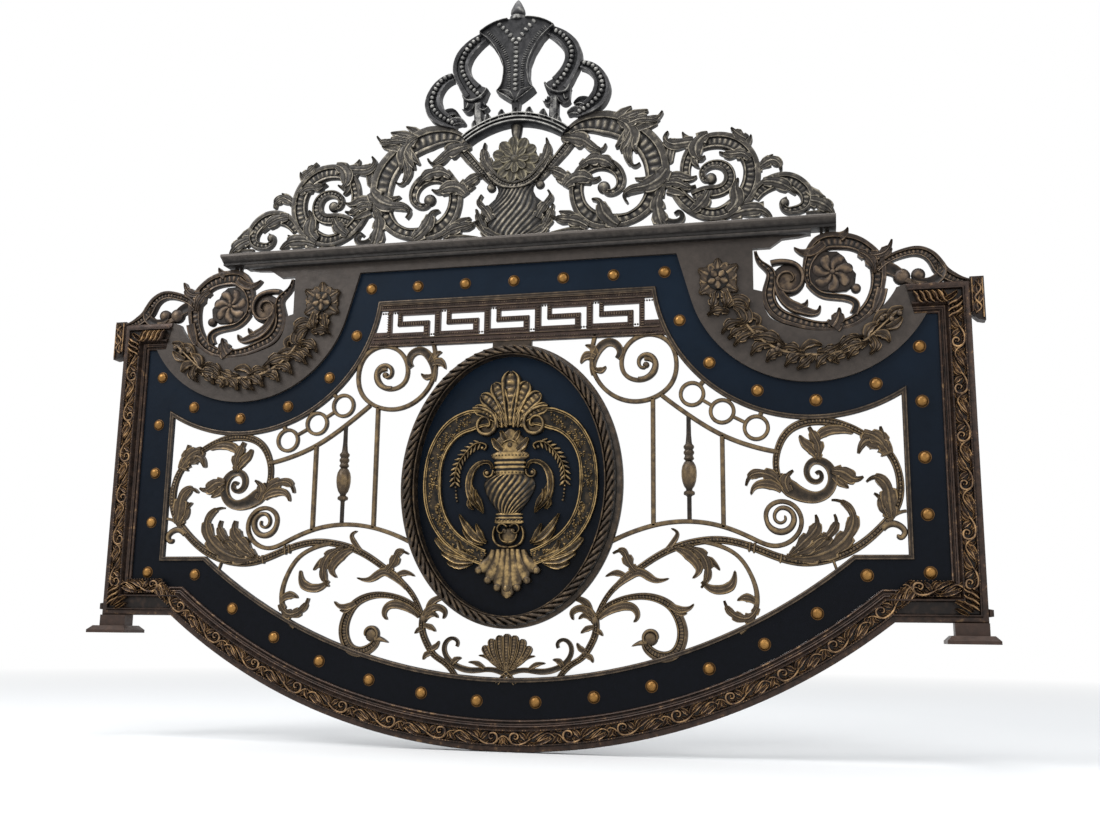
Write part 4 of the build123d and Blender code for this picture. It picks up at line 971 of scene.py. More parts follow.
INNER_CREST = [
    ("channel", [(140, 1392), (170, 1420), (215, 1431), (254, 1428), (302, 1412), (350, 1380),
                 (388, 1334), (402, 1289), (402, 1239), (388, 1194), (360, 1159), (318, 1138),
                 (275, 1134), (232, 1142), (195, 1172), (178, 1214), (178, 1254), (200, 1292),
                 (240, 1306), (280, 1294), (302, 1262), (296, 1229), (270, 1218), (252, 1234)],
     (16, 34, 58, 74, 74, 70, 72, 74, 70, 62, 50, 40, 36, 44, 52, 48, 42, 40, 42, 38, 36, 30,
      22, 16)),
    ("leaf", [(133, 1391), (167, 1386), (199, 1375), (226, 1352), (249, 1345), (261, 1361)],
     (16, 44, 50, 34, 18, 5), 5),
    ("leaf", [(296, 1428), (322, 1408), (333, 1376), (322, 1339), (326, 1307), (340, 1289),
              (357, 1296)], (14, 40, 54, 46, 26, 14, 5), 5),
    ("leaf", [(322, 1396), (308, 1372), (288, 1348)], (18, 24, 7), 6),
    ("leaf", [(326, 1379), (314, 1355), (302, 1334)], (18, 22, 7), 7),
    ("leaf", [(345, 1372), (342, 1348), (346, 1330)], (16, 20, 6), 6),
    ("leaf", [(430, 1272), (402, 1240), (363, 1225), (331, 1220), (313, 1206), (322, 1184)],
     (36, 60, 48, 32, 18, 6), 5),
    ("leaf", [(405, 1250), (372, 1247), (342, 1253)], (22, 20, 5), 4),
    ("leaf", [(145, 1244), (167, 1264), (199, 1267), (226, 1257), (246, 1264)],
     (24, 50, 44, 26, 5), 5),
    ("leaf", [(158, 1268), (133, 1284), (113, 1294), (92, 1297)], (26, 38, 28, 6), 4),
    ("leaf", [(148, 1258), (133, 1264), (118, 1268)], (18, 18, 5), 3),
    ("leaf", [(190, 1300), (226, 1318), (258, 1311), (286, 1284)], (20, 42, 42, 10), 5),
    ("leaf", [(296, 1120), (268, 1143), (252, 1168), (243, 1193), (222, 1200)],
     (26, 54, 46, 28, 5), 5),
    ("channel", [(164, 1384), (135, 1349), (105, 1314), (80, 1284), (64, 1264)],
     (28, 30, 26, 22, 12)),
    ("leaf", [(210, 1122), (172, 1142), (135, 1149), (104, 1160)], (24, 40, 28, 5), 4),
    ("leaf", [(184, 1148), (154, 1164), (128, 1172)], (18, 24, 6), 3),
    ("leaf", [(208, 1114), (160, 1112), (100, 1106)], (20, 26, 16), 2),
    ("leaf", [(286, 1440), (313, 1457), (333, 1468)], (22, 24, 5), 2),
    ("leaf", [(304, 1430), (345, 1445), (380, 1452)], (24, 28, 7), 3),
    ("leaf", [(326, 1416), (367, 1426), (401, 1424), (420, 1444)], (28, 32, 24, 5), 5),
    ("leaf", [(350, 1398), (381, 1407), (406, 1412)], (22, 24, 8), 3),
    ("leaf", [(418, 1216), (404, 1175), (408, 1143), (420, 1100)], (20, 42, 48, 40), 2),
    ("scoop", [(420, 1136), (442, 1116), (463, 1119), (472, 1134), (463, 1147), (452, 1141)],
     (18, 24, 24, 18, 13, 9), 3),
]
OUTER_CREST = [
    ("channel", [(483, 1244), (484, 1289), (505, 1326), (545, 1346), (590, 1344), (632, 1319),
                 (656, 1279), (660, 1234), (645, 1189), (612, 1154), (565, 1134), (520, 1144),
                 (482, 1174), (455, 1212)],
     (28, 32, 38, 46, 48, 46, 46, 48, 50, 46, 38, 38, 42, 36)),
    ("channel", [(500, 1188), (540, 1199), (575, 1202), (597, 1219), (601, 1244), (590, 1267),
                 (565, 1278), (540, 1272), (527, 1254), (532, 1237), (548, 1234)],
     (32, 36, 36, 34, 34, 32, 28, 24, 22, 18, 14), 1),
    ("leaf", [(428, 1247), (470, 1249), (496, 1240), (513, 1246)], (22, 28, 22, 5), 4),
    ("leaf", [(428, 1230), (465, 1227), (490, 1214), (510, 1217)], (26, 32, 24, 6), 5),
    ("leaf", [(432, 1212), (458, 1202), (482, 1192)], (22, 22, 6), 4),
    ("leaf", [(506, 1349), (470, 1344), (442, 1346), (427, 1361), (435, 1383)],
     (28, 46, 38, 26, 5), 2),
    ("leaf", [(494, 1350), (480, 1366), (474, 1379)], (26, 18, 4), 1),
    ("leaf", [(446, 1344), (440, 1318), (438, 1290)], (26, 24, 20)),
    ("leaf", [(546, 1364), (518, 1344), (511, 1314), (522, 1294), (536, 1301)],
     (20, 48, 48, 26, 5), 5),
    ("leaf", [(512, 1312), (507, 1288), (520, 1271)], (24, 22, 5), 4),
    ("leaf", [(648, 1342), (624, 1360), (607, 1378)], (26, 32, 5), 2),
    ("leaf", [(650, 1330), (658, 1344), (660, 1355)], (20, 14, 4), 1),
    ("leaf", [(656, 1284), (635, 1300), (602, 1300), (574, 1309)], (22, 34, 26, 5), 4),
    ("leaf", [(596, 1136), (620, 1170), (616, 1206), (624, 1230)], (28, 50, 36, 5), 4),
    ("leaf", [(500, 1146), (526, 1168), (544, 1200)], (22, 46, 24), 4),
    ("leaf", [(600, 1124), (650, 1138), (684, 1134), (706, 1112)], (26, 48, 40, 16), 3),
    ("leaf", [(660, 1140), (678, 1150), (690, 1159)], (26, 18, 4), 2),
    ("leaf", [(540, 1118), (570, 1110), (600, 1100)], (16, 22, 20), 1),
    ("channel", [(664, 1172), (688, 1199), (722, 1216), (757, 1216), (786, 1198), (803, 1170),
                 (798, 1142), (772, 1130), (746, 1134), (738, 1152), (752, 1163)],
     (30, 36, 42, 44, 44, 42, 38, 28, 24, 18, 12), 1),
    ("leaf", [(690, 1214), (725, 1210), (750, 1197), (774, 1174)], (24, 44, 32, 6), 4),
    ("leaf", [(672, 1248), (694, 1268), (716, 1276), (732, 1266), (737, 1246)],
     (20, 28, 34, 26, 8)),
    ("leaf", [(698, 1276), (712, 1288), (718, 1292)], (20, 14, 4)),
    ("leaf", [(806, 1186), (832, 1166), (852, 1158)], (24, 30, 5), 2),
    ("leaf", [(812, 1152), (836, 1144), (856, 1130), (870, 1110)], (30, 46, 38, 10), 3),
    ("leaf", [(800, 1112), (836, 1112), (868, 1106)], (24, 26, 12), 1),
]
CREST_EYES = {"inner_crest_scroll": [(254, 1236, 18)],
              "outer_crest_scroll": [(550, 1238, 16), (744, 1154, 13)]}
CREST_URN = [(95, 1098), (95, 1130), (78, 1140), (106, 1165), (100, 1190), (60, 1225),
             (48, 1250), (56, 1262)]
SHOULDER_SCROLL = [
    ("channel", [(664, 1021), (674, 992), (702, 962), (697, 905), (722, 845), (760, 826),
                 (805, 811), (850, 806), (905, 815), (943, 842), (968, 885), (978, 935),
                 (972, 978), (950, 1008), (920, 1028), (880, 1037), (846, 1036), (815, 1012),
                 (800, 980), (796, 945), (806, 918)][::-1],
     (12, 26, 50, 46, 40, 42, 36, 35, 28, 26, 32, 36, 35, 22, 8)),
    ("round", [(704, 985), (735, 988), (772, 975), (786, 940), (768, 908), (738, 906),
               (720, 932), (734, 956), (756, 954), (762, 938), (752, 930)],
     (16, 14, 12, 10, 9, 8, 6), 4),
    ("leaf", [(716, 948), (724, 906), (748, 872), (782, 853), (822, 846), (828, 862)],
     (8, 20, 26, 30, 20, 6), 4),
    ("leaf", [(770, 862), (790, 866), (796, 880)], (16, 16, 4), 3),
    ("leaf", [(858, 802), (872, 826), (876, 852)], (46, 40, 6), 5),
    ("leaf", [(840, 1030), (795, 1008), (765, 1024)], (26, 26, 5), 3),
    ("leaf", [(884, 1046), (898, 1056), (905, 1071)], (30, 18, 4), 3),
    ("leaf", [(960, 990), (994, 995), (1014, 1029)], (24, 34, 5), 4),
    ("band", [(800, 924), (836, 890), (880, 882), (918, 864), (912, 836)],
     (16, 16, 18, 18, 22), 1),
    ("channel", [(972, 950), (1002, 976), (1040, 991), (1083, 994), (1113, 974), (1132, 942),
                 (1160, 918), (1205, 905)], (18, 22, 24, 28, 36, 30, 12), 2),
    ("scoop", [(1126, 962), (1132, 932), (1112, 912), (1084, 910), (1062, 922)],
     (18, 26, 28, 24, 14), 3),
    ("leaf", [(985, 900), (975, 866), (962, 836)], (30, 30, 16), 4),
    ("leaf", [(930, 1000), (960, 975), (968, 940)], (20, 36, 10), 5),
    ("bar", [(1096, 906), (1060, 912), (1035, 926)], (16, 18)),
    ("scoop", [(980, 958), (1006, 952), (1030, 936)], (34, 34, 28)),
]
SHOULDER_FLOWER = [(800, 950), (806, 985), (838, 1010), (875, 1008), (893, 992), (906, 966),
                   (922, 944), (918, 914), (896, 898), (862, 897), (828, 902), (806, 920)]
GARLAND_FLOWER = (566, 943)
SWAG = [(590, 915), (612, 862), (650, 800), (730, 740), (805, 726), (880, 734), (945, 765),
        (990, 805), (1026, 835)]
GARLAND = [
    ("leaf", [(557, 904), (553, 880), (547, 860)], (22, 32, 10), 2),
    ("leaf", [(583, 905), (587, 883), (582, 864)], (22, 32, 10), 3),
    ("leaf", [(592, 850), (567, 858), (537, 845)], (12, 34, 6), 1),
    ("leaf", [(590, 866), (614, 884), (640, 870), (639, 850)], (14, 36, 30, 7), 3),
    ("leaf", [(606, 866), (634, 850), (640, 828), (618, 815)], (16, 40, 32, 8), 4),
    ("leaf", [(630, 820), (600, 820), (574, 793)], (14, 36, 6), 1),
    ("leaf", [(640, 806), (612, 796), (590, 778)], (14, 30, 6), 3),
    ("lobe", [(628, 818), (648, 838), (670, 828), (664, 810)], (12, 22, 18, 12), 4),
    ("leaf", [(662, 790), (630, 784), (605, 758)], (16, 36, 6), 2),
    ("leaf", [(640, 796), (668, 802), (697, 788)], (14, 26, 6), 2),
    ("leaf", [(655, 778), (693, 781), (734, 753)], (16, 38, 10), 4),
    ("leaf", [(698, 756), (668, 754), (648, 731)], (16, 34, 6), 3),
    ("leaf", [(728, 736), (702, 730), (688, 712)], (16, 32, 7), 2),
    ("leaf", [(726, 746), (754, 748), (778, 732)], (14, 32, 9), 2),
    ("leaf", [(786, 730), (754, 720), (735, 697)], (16, 36, 7), 3),
    ("leaf", [(806, 724), (788, 708), (765, 690)], (16, 32, 7), 4),
    ("leaf", [(776, 738), (803, 758), (830, 750)], (12, 26, 6), 1),
    ("leaf", [(848, 726), (828, 714), (815, 690)], (16, 34, 7), 4),
    ("leaf", [(834, 728), (856, 716), (870, 700)], (14, 28, 6), 2),
    ("leaf", [(816, 732), (850, 738), (876, 752)], (14, 32, 9), 3),
    ("leaf", [(868, 732), (894, 762), (936, 768)], (14, 32, 6), 2),
    ("leaf", [(878, 732), (914, 748), (944, 750)], (16, 34, 7), 4),
    ("leaf", [(908, 738), (876, 728), (852, 704)], (16, 34, 6), 1),
    ("leaf", [(936, 750), (908, 734), (892, 710)], (16, 32, 6), 3),
    ("leaf", [(950, 770), (962, 744), (947, 722)], (16, 34, 6), 2),
    ("leaf", [(962, 774), (984, 772), (997, 750)], (14, 30, 6), 4),
    ("leaf", [(940, 760), (946, 788), (975, 802)], (14, 30, 7), 3),
    ("lobe", [(962, 800), (982, 828), (1008, 828)], (14, 24, 14), 3),
    ("leaf", [(990, 790), (1016, 800), (1030, 816)], (14, 28, 7), 2),
    ("lobe", [(994, 812), (1012, 836), (1034, 838)], (12, 22, 12), 4),
]
BERRIES = [(716, 745), (704, 740), (722, 756), (980, 814), (1004, 812), (1024, 826)]
CARTOUCHE = [(60, 588), (110, 583), (155, 565), (190, 528), (211, 480), (218, 420), (212, 355),
             (190, 300), (155, 258), (110, 228), (68, 210)]
CARTOUCHE_CURL = [(105, 616), (76, 613), (46, 594), (40, 566), (58, 544), (84, 549), (92, 572),
                  (76, 590), (58, 580), (58, 565), (68, 562)]
# Height and half width
URN_BOWL = [(326, 26), (340, 38), (360, 54), (385, 67), (407, 72), (420, 66), (431, 46)]
URN_NECK = [(430, 43), (440, 44), (446, 41), (452, 45), (458, 41), (464, 45), (470, 42),
            (474, 46), (478, 51), (484, 53), (490, 50), (493, 44)]
URN_FOOT = [(300, 36), (306, 40), (311, 33), (315, 39), (320, 33), (324, 37), (328, 27)]
URN_SIDE = [
    ("leaf", [(20, 498), (38, 514), (50, 532)], (18, 24, 8), 2),
    ("leaf", [(8, 520), (20, 540), (26, 552)], (12, 20, 8), 3),
    ("lobe", [(48, 448), (57, 465), (83, 464), (108, 437), (114, 400), (106, 366), (86, 343),
              (70, 328)], (8, 11, 15, 20, 20, 16, 10, 3), 1),
    ("round", [(46, 444), (50, 430), (64, 426), (72, 438), (64, 446)], (8, 8, 7, 4), 1),
    ("leaf", [(112, 420), (104, 388), (84, 362), (72, 332)], (8, 20, 16, 4), 0),
    ("leaf", [(96, 392), (96, 372), (92, 356)], (10, 12, 4), 3),
    ("leaf", [(108, 370), (112, 352), (98, 338)], (8, 12, 4), 2),
    ("round", [(36, 292), (42, 270), (34, 248), (14, 238), (0, 237)], (7, 8, 8, 8), 2),
    ("round", [(4, 292), (22, 298), (30, 284), (20, 274), (12, 282)], (7, 7, 6, 4), 3),
    ("round", [(24, 272), (18, 256), (0, 250)], (6, 6), 2),
    ("round", [(72, 500), (66, 512), (82, 520), (120, 498), (146, 460), (153, 415)],
     (7, 7, 6, 5, 4, 3), 1),
    ("leaf", [(60, 250), (88, 262), (112, 286), (138, 326)], (8, 22, 20, 4), 1),
    ("leaf", [(64, 250), (78, 272), (90, 300)], (8, 18, 4), 2),
    ("leaf", [(70, 246), (104, 258), (128, 290)], (8, 16, 4), 0),
    ("lobe", [(88, 206), (138, 218), (172, 232), (203, 262)], (12, 28, 24, 12), 2),
    ("lobe", [(96, 200), (140, 204), (184, 224)], (12, 26, 12), 3),
    ("lobe", [(100, 196), (136, 188), (168, 198)], (10, 22, 10), 1),
    ("lobe", [(112, 222), (134, 240), (138, 256)], (10, 18, 10), 1),
]
BRANCH = [(84, 520), (120, 498), (146, 460), (153, 415)]
BRANCH_BERRIES = [(152, 400), (151, 390), (150, 380), (149, 371), (147, 362)]
# Base, tip, width and lift of each finger, and foot and tip
TOP_PALMETTE = [((8, 566), (48, 684), 46, 3), ((16, 564), (84, 652), 42, 2),
                ((20, 562), (104, 616), 36, 1)]
LOW_PALMETTE = [((13, 232), (27, 131)), ((27, 231), (54, 150)), ((41, 230), (80, 176))]
CREST_BOWL = [(1112, 62), (1125, 76), (1150, 84), (1180, 84), (1210, 66), (1235, 52), (1262, 54)]
CREST_URN_SIDE = [
    ("leaf", [(60, 1305), (88, 1340), (90, 1395)], (36, 40, 5), 2),
    ("leaf", [(66, 1160), (88, 1196), (104, 1216), (96, 1238)], (30, 34, 20, 6), 3),
    ("leaf", [(80, 1120), (100, 1158), (112, 1196)], (30, 32, 6), 2),
    ("leaf", [(40, 1108), (70, 1120), (108, 1150)], (16, 28, 8), 4),
    ("channel", [(-6, 1262), (40, 1274), (76, 1308), (104, 1352)], (18, 22, 26, 8), 3),
    ("round", [(-3, 1252), (36, 1258), (62, 1274), (76, 1290)], (7, 8, 7, 5), 8),
    ("round", [(0, 1100), (90, 1100)], (8,), 2),
]
ROSETTE = (0, 1337)
INNER_ARCH = [
    ("arched", [(97, 1716), (128, 1696), (158, 1662), (167, 1622), (152, 1582), (128, 1548)],
     (28, 40, 48, 50, 50, 60)),
    ("round", [(86, 1552), (100, 1532), (124, 1520), (146, 1522), (158, 1540)], (8, 10, 8), 6),
    ("scoop", [(104, 1506), (92, 1494), (84, 1500)], (24, 18, 10), 3),
    ("scoop", [(132, 1508), (146, 1492), (156, 1498)], (24, 18, 10), 3),
    ("bar", [(112, 1510), (110, 1426)], (26,)),
]
INNER_ARCH_SLAB = [(82, 1549), (93, 1560), (140, 1582), (160, 1552), (156, 1494), (136, 1506),
                   (112, 1502), (92, 1522)]
INNER_ARCH_BEADS = [(117, 1710), (139, 1692), (156, 1666), (164, 1640), (162, 1618), (152, 1592),
                    (137, 1566), (117, 1544), (104, 1529)]
OUTER_ARCH = [
    ("arched", [(190, 1600), (216, 1590), (240, 1564), (250, 1528), (238, 1492), (206, 1466),
                (176, 1450)], (22, 30, 38, 50, 52, 40, 24)),
    ("scoop", [(206, 1486), (188, 1490), (172, 1480)], (28, 22, 8), 2),
    ("lobe", [(190, 1458), (168, 1462), (152, 1452)], (26, 24, 10), 3),
]
OUTER_ARCH_BEADS = [(200, 1603), (222, 1592), (240, 1568), (250, 1544), (252, 1522), (243, 1501),
                    (222, 1479), (187, 1457)]
CENTRE_ARCH = [(4, 1500), (57, 1538), (44, 1556), (38, 1582), (39, 1614), (52, 1650), (76, 1690),
               (112, 1726), (72, 1752), (26, 1763)]
CENTRE_ARCH_SIDE = [
    ("round", [(109, 1724), (72, 1690), (47, 1648), (35, 1610), (36, 1580), (42, 1554),
               (54, 1538)], (4, 5, 4), 4),
    ("round", [(54, 1538), (28, 1518), (3, 1502)], (5,), 4),
    ("round", [(109, 1728), (72, 1750), (26, 1760)], (5,), 4),
    ("leaf", [(6, 1504), (26, 1530), (50, 1538)], (10, 26, 8), 1),
]
FINIAL_FOOT = 1758
FINIAL_HEIGHT = 68
# Radius, and share of the height
FINIAL = [(20, 0), (24, 0.03), (24.5, 0.1), (24, 0.18), (17, 0.22), (16, 0.26), (20, 0.31),
          (22, 0.38), (20.5, 0.5), (16, 0.66), (10, 0.84), (4.5, 0.96), (2, 1)]
STUDS = [(1070, 741), (1070, 599), (1070, 456.5), (1070, 313.5), (1070, 170.5), (0, 977),
         (141, 977), (281.5, 977), (421.7, 977), (960, 648), (809.5, 610.5), (662, 641),
         (538.6, 720.5), (461, 840), (79, -162.5), (233, -146), (382, -115.5), (528, -69),
         (666, -7), (797, 70), (920, 164)]


def moulding_unit():
    unit = Casting(10, 11, 19.5, Art((0, 0, MOULDING_UNIT_LENGTH, 1),
                                  (0, 0, MOULDING_PITCH, 1)))
    unit.draw(MOULDING_UNIT)
    for x, z in MOULDING_BUDS:
        unit.dome(x, z, 4, rise=7, floor=12, sides=8, levels=3)
    return unit


def moulding_ornament(casting, path):
    """The running scroll and the two rows of small ribs along one straight or bowed length."""
    path = np.array(path, float)
    normal = normals_of(path)
    gaps = np.linalg.norm(np.diff(path, axis=0), axis=1)
    length = gaps.sum()
    pitch = length / max(1, round(length / MOULDING_PITCH))
    along = np.concatenate([[0], np.cumsum(gaps)])

    def moved(offset, start, stop):
        places = np.linspace(start, stop, max(2, int((stop - start) / 20)))
        lines = path + normal * offset
        return [(np.interp(s, along, lines[:, 0]), 0, np.interp(s, along, lines[:, 1]))
                for s in places]

    if length > 1.5 * pitch:
        line = moved(0, pitch / 2, length - pitch / 2)
        repeated(casting, [line], moulding_unit(), pitch)
    else:
        repeated(casting, [moved(0, length / 2, length / 2 + 1)[:1]], moulding_unit())
    for offset in BEAD_ROWS:
        row = moved(offset, BEAD_ROW_INSET, length - BEAD_ROW_INSET)
        repeated(casting, [row], bead_unit(5, 4.5, 18, 4, 6), BEAD_ROW_PITCH)


class FencePanelSettings(bpy.types.PropertyGroup):
    stud_radius: bpy.props.FloatProperty(
        name="Stud radius", description="Radius of the domed studs on the field",
        default=0.0145, min=0.005, unit="LENGTH")
    bead_spacing: bpy.props.FloatProperty(
        name="Bead spacing", description="Distance from bead to bead on the crown and scrolls",
        default=0.014, min=0.004, unit="LENGTH")
    rope_spacing: bpy.props.FloatProperty(
        name="Rope spacing", description="Distance from strand to strand round the oval",
        default=0.0265, min=0.004, unit="LENGTH")
    floor_colour: bpy.props.FloatVectorProperty(
        name="Floor colour", description="Colour of the floor under the panel",
        subtype="COLOR", size=3, default=(0.8, 0.8, 0.8), min=0, max=1)


def build_stile():
    line = STILE_INSIDE + ORNAMENT_LINE
    outside = STILE_INSIDE + MOULDING
    foot = RAIL_TOP - MOULDING
    stile = Casting(MOULDING_BACK, 0, MOULDING_FRONT)
    stile.moulding([((STILE_INSIDE, SHORT_RAIL_FOOT), (STILE_INSIDE, STILE_TOP)),
                    ((STILE_INSIDE, SHORT_RAIL_FOOT), (outside, STILE_TOP)),
                    ((STILE_INSIDE, RAIL_TOP), (outside, foot)),
                    ((STILE_INSIDE, RAIL_TOP), (STILE_INSIDE, foot))])
    moulding_ornament(stile, [(line, RAIL_TOP - STILE_ORNAMENT_OVERLAP),
                              (line, SHORT_RAIL_FOOT + STILE_ORNAMENT_OVERLAP)])
    for k in range(3):
        step = CORNER_LEAF_PITCH * k
        for level, up in ((838 - step, 1), (102 + step, -1)):
            stile.draw([("round", [(1142, level), (1150, level + 7 * up),
                                   (1158, level + 10 * up), (1176, level + 24 * up)],
                         (5, 11, 11, 5), 10),
                        ("leaf", [(1160, level), (1168, level + 8 * up),
                                  (1178, level + 12 * up)], (4, 9, 4), 10)])
    stile.draw([("leaf", [(1124, 852), (1146, 860), (1166, 876)], (8, 16, 8), 11),
                ("leaf", [(1122, 102), (1142, 92), (1162, 76)], (8, 16, 8), 11),
                ("leaf", [(1122, 84), (1140, 74), (1152, 68)], (5, 12, 5), 10)])
    stile.slab([(1198, 64), (1210, 66), (1210, 82), (1198, 84)], -10, 10)
    pair("stile", stile, finish("bronze"))


def build_bottom_rail():
    rail = Casting(MOULDING_BACK, 0, MOULDING_FRONT)
    rail.sweep([(-STILE_INSIDE, RAIL_TOP), *bow(BOW_RADIUS, RAIL_TOP), (STILE_INSIDE, RAIL_TOP)],
               MOULDING_PROFILE, MOULDING_BACK)
    half = Casting(MOULDING_BACK, 0, MOULDING_FRONT)
    radius = BOW_RADIUS + ORNAMENT_LINE
    height = LEVEL_ORNAMENT_HEIGHT
    reach = sqrt(radius**2 - (BOW_CENTRE - height) ** 2)
    moulding_ornament(half, arc((0, BOW_CENTRE), radius, 0, degrees(asin(reach / radius))))
    moulding_ornament(half, [(reach + 2, height), (STILE_INSIDE, height)])
    rail.join_both(half)
    single("bottom_rail", rail, finish("bronze"))


def build_short_rail():
    short = Casting(MOULDING_BACK, 0, MOULDING_FRONT)
    short.moulding([((SHORT_RAIL_END + SHORT_RAIL_SLANT, SHORT_RAIL_FOOT),
                     (SHORT_RAIL_END, STILE_TOP)),
                    ((STILE_INSIDE, SHORT_RAIL_FOOT), (STILE_INSIDE, STILE_TOP))])
    for k in range(5):
        x = 1068 + CORNER_LEAF_PITCH * k
        short.draw([("round", [(x + 12, 849), (x + 4, 857), (x + 1, 868), (x - 9, 880)],
                     (5, 11, 11, 5), 10),
                    ("leaf", [(x + 14, 856), (x + 8, 868), (x + 2, 881)], (4, 9, 4), 10)])
    pair("top_rail", short, finish("bronze"))


def build_bracket():
    bracket = Casting(MOULDING_BACK, BRACKET_FRONT - 1, BRACKET_FRONT + 6)
    bracket.slab(BRACKET, front=BRACKET_FRONT, bevel=1, shade=0.3)
    bracket.draw(BRACKET_RELIEF)
    pair("wall_bracket", bracket, finish("bronze"))


def build_studs(radius):
    studs = Casting(-4, 0, 10)
    unit = Casting(-3, 0, 10)
    # Painted shade: a low skirt round the foot of each stud shows as a dark ring
    unit.dome(0, 0, radius + 2, rise=1.5, floor=0.4, sides=24, levels=3)
    unit.dome(0, 0, radius, rise=10, floor=1, sides=24, levels=7)
    places = STUDS + [(-x, z) for x, z in STUDS if x]
    repeated(studs, [flat_path(places)], unit, variation=0.02)
    single("field_studs", studs, finish("stud"), stands_for=False)


def build_opening_rim():
    radius = SHOULDER_OPENING_RADIUS
    side = degrees(asin((OPENING_HALF_WIDTH - SHOULDER[0]) / radius))
    top = degrees(asin(sqrt(radius**2 - (OPENING_TOP - SHOULDER[1]) ** 2) / radius))
    right = [(OPENING_HALF_WIDTH, OPENING_CORNER), *arc(SHOULDER, radius, side, -top)]
    rim = Casting(0, 0, 6)
    rim.sweep(bow(OPENING_BOW_RADIUS, OPENING_CORNER) + both(right), RIM_PROFILE, 0, loop=True)
    single("opening_rim", rim, finish("rim"))


def build_shoulder_scroll():
    scroll = Casting(-8, 3, 11, SHOULDER_ART)
    scroll.draw(SHOULDER_SCROLL)
    scroll.slab(SHOULDER_FLOWER, front=6, shade=0.35)
    flower = (862, 950)
    petals = 7
    for turn in range(petals):
        angle = 2 * pi * turn / petals
        bend = angle + 0.45
        scroll.stroke("round", [spoke(flower, bend, 6), spoke(flower, bend, 28),
                                spoke(flower, angle, 48)], (8, 26, 44), 1, 6)
    scroll.dome(748, 937, 44, rise=3, floor=2, sides=32)
    scroll.dome(920, 905, 13)
    scroll.dome(1035, 930, 22, rise=12)
    scroll.dome(1076, 932, 18, rise=10)
    scroll.dome(862, 952, 9, rise=7, floor=8)
    for x, half in ((837, 4), (852, 5)):
        scroll.slab([(x - half, 1040), (x + half, 1040), (x + half, 1075), (x - half, 1075)],
                    front=3, bevel=1)
    pair("shoulder_scroll", scroll, finish("dark"))


def build_garland():
    garland = Casting(9, 10, 22)
    garland.stroke("ridge", SWAG, (10, 16, 18, 16, 16, 14, 8))
    garland.draw(GARLAND)
    for x, z in BERRIES:
        garland.dome(x, z, 8, rise=5, floor=20, sides=12, levels=3)
    flower = GARLAND_FLOWER
    for turn, reach in ((90, 58), (150, 60), (35, 64), (216, 62), (326, 62)):
        garland.stroke("leaf", [flower, spoke(flower, radians(turn), reach)], (20, 62, 54, 8),
                       turn % 4, 8)
    # Painted shade: a dark disc under the inner petals shows as a dark ring between them and the
    # outer leaves
    garland.slab(arc(flower, 29, 0, 340, 20), 9, 22, bevel=1, shade=0.05)
    for turn in range(5):
        angle = radians(54 + 72 * turn)
        garland.stroke("round", [spoke(flower, angle, 8), spoke(flower, angle, 27)], (12, 22, 20),
                       10, 6)
    garland.dome(*flower, 9, rise=5, floor=21)
    pair("garland", garland, finish("swag"))


def build_cornice():
    cornice = Casting(-8, 0, 60)
    rise = (CORNICE_TOP - FASCIA_FOOT) / FASCIA_DRAWN_HEIGHT
    for half_length, foot, profile in (
            (CORNICE_HALF_LENGTH, FASCIA_FOOT, [(h * rise, out) for h, out in FASCIA_PROFILE]),
            (BED_HALF_LENGTH, CORNICE_FOOT, BED_PROFILE)):
        cornice.sweep([(half_length, foot), (-half_length, foot)], profile, -8)
    single("cornice", cornice, finish("cornice"))


def build_oval_rim(spacing):
    turn = np.linspace(0, 2 * pi, 160, endpoint=False)
    step, out, shade = np.array(RING_PROFILE).T
    rings = np.zeros((len(turn), len(step), 3))
    rings[..., 0] = (OVAL_HALF_WIDTH - step) * np.cos(turn)[:, None]
    end_step = step * RING_AT_ENDS / RING_AT_SIDES
    rings[..., 2] = OVAL_CENTRE + (OVAL_HALF_HEIGHT - end_step) * np.sin(turn)[:, None]
    rings[..., 1] = out
    rim = Casting(-8, 0, 40)
    rim.loft(rings, shade[None, :], loop=True)
    rim.slab([(-55, 780), (55, 780), (55, 802), (-55, 802)], -7.6, 10)
    strand = Casting(26, 27, 39.5)
    strand.stroke("round", [(-27, 10.5), (-10, 5), (10, -5), (27, -10.5)], (4, 13, 13, 4))
    # Dims the strands' painted highlights and shade
    strand.shades = [shade * 0.75 for shade in strand.shades]
    rope = [((OVAL_HALF_WIDTH - 27.5) * cos(a), 0, OVAL_CENTRE + (OVAL_HALF_HEIGHT - 20) * sin(a))
            for a in turn]
    repeated(rim, [rope], strand, spacing, loop=True)
    single("oval_rim", rim, finish("swag"))


def crumb_unit(turns):
    """Three small grains, each turned its own way."""
    crumb = Casting(6, 7, 13)
    for k, turn in enumerate(turns):
        crumb.dome(0, 0, 1, rise=6.5 - k, floor=7, sides=6, levels=3)
        grain = crumb.points[-1]
        along = grain[:, [0]] * 5.5 + (k - 1) * 4.5
        across = grain[:, [2]] * 2.2 + (k % 2) * 4
        crumb.points[-1] = (grain * (0, 1, 0) + along * (cos(turn), 0, sin(turn))
                            + across * (-sin(turn), 0, cos(turn)))
    # Brightens the crumbs' painted highlights
    crumb.shades = [shade * 1.2 for shade in crumb.shades]
    return crumb


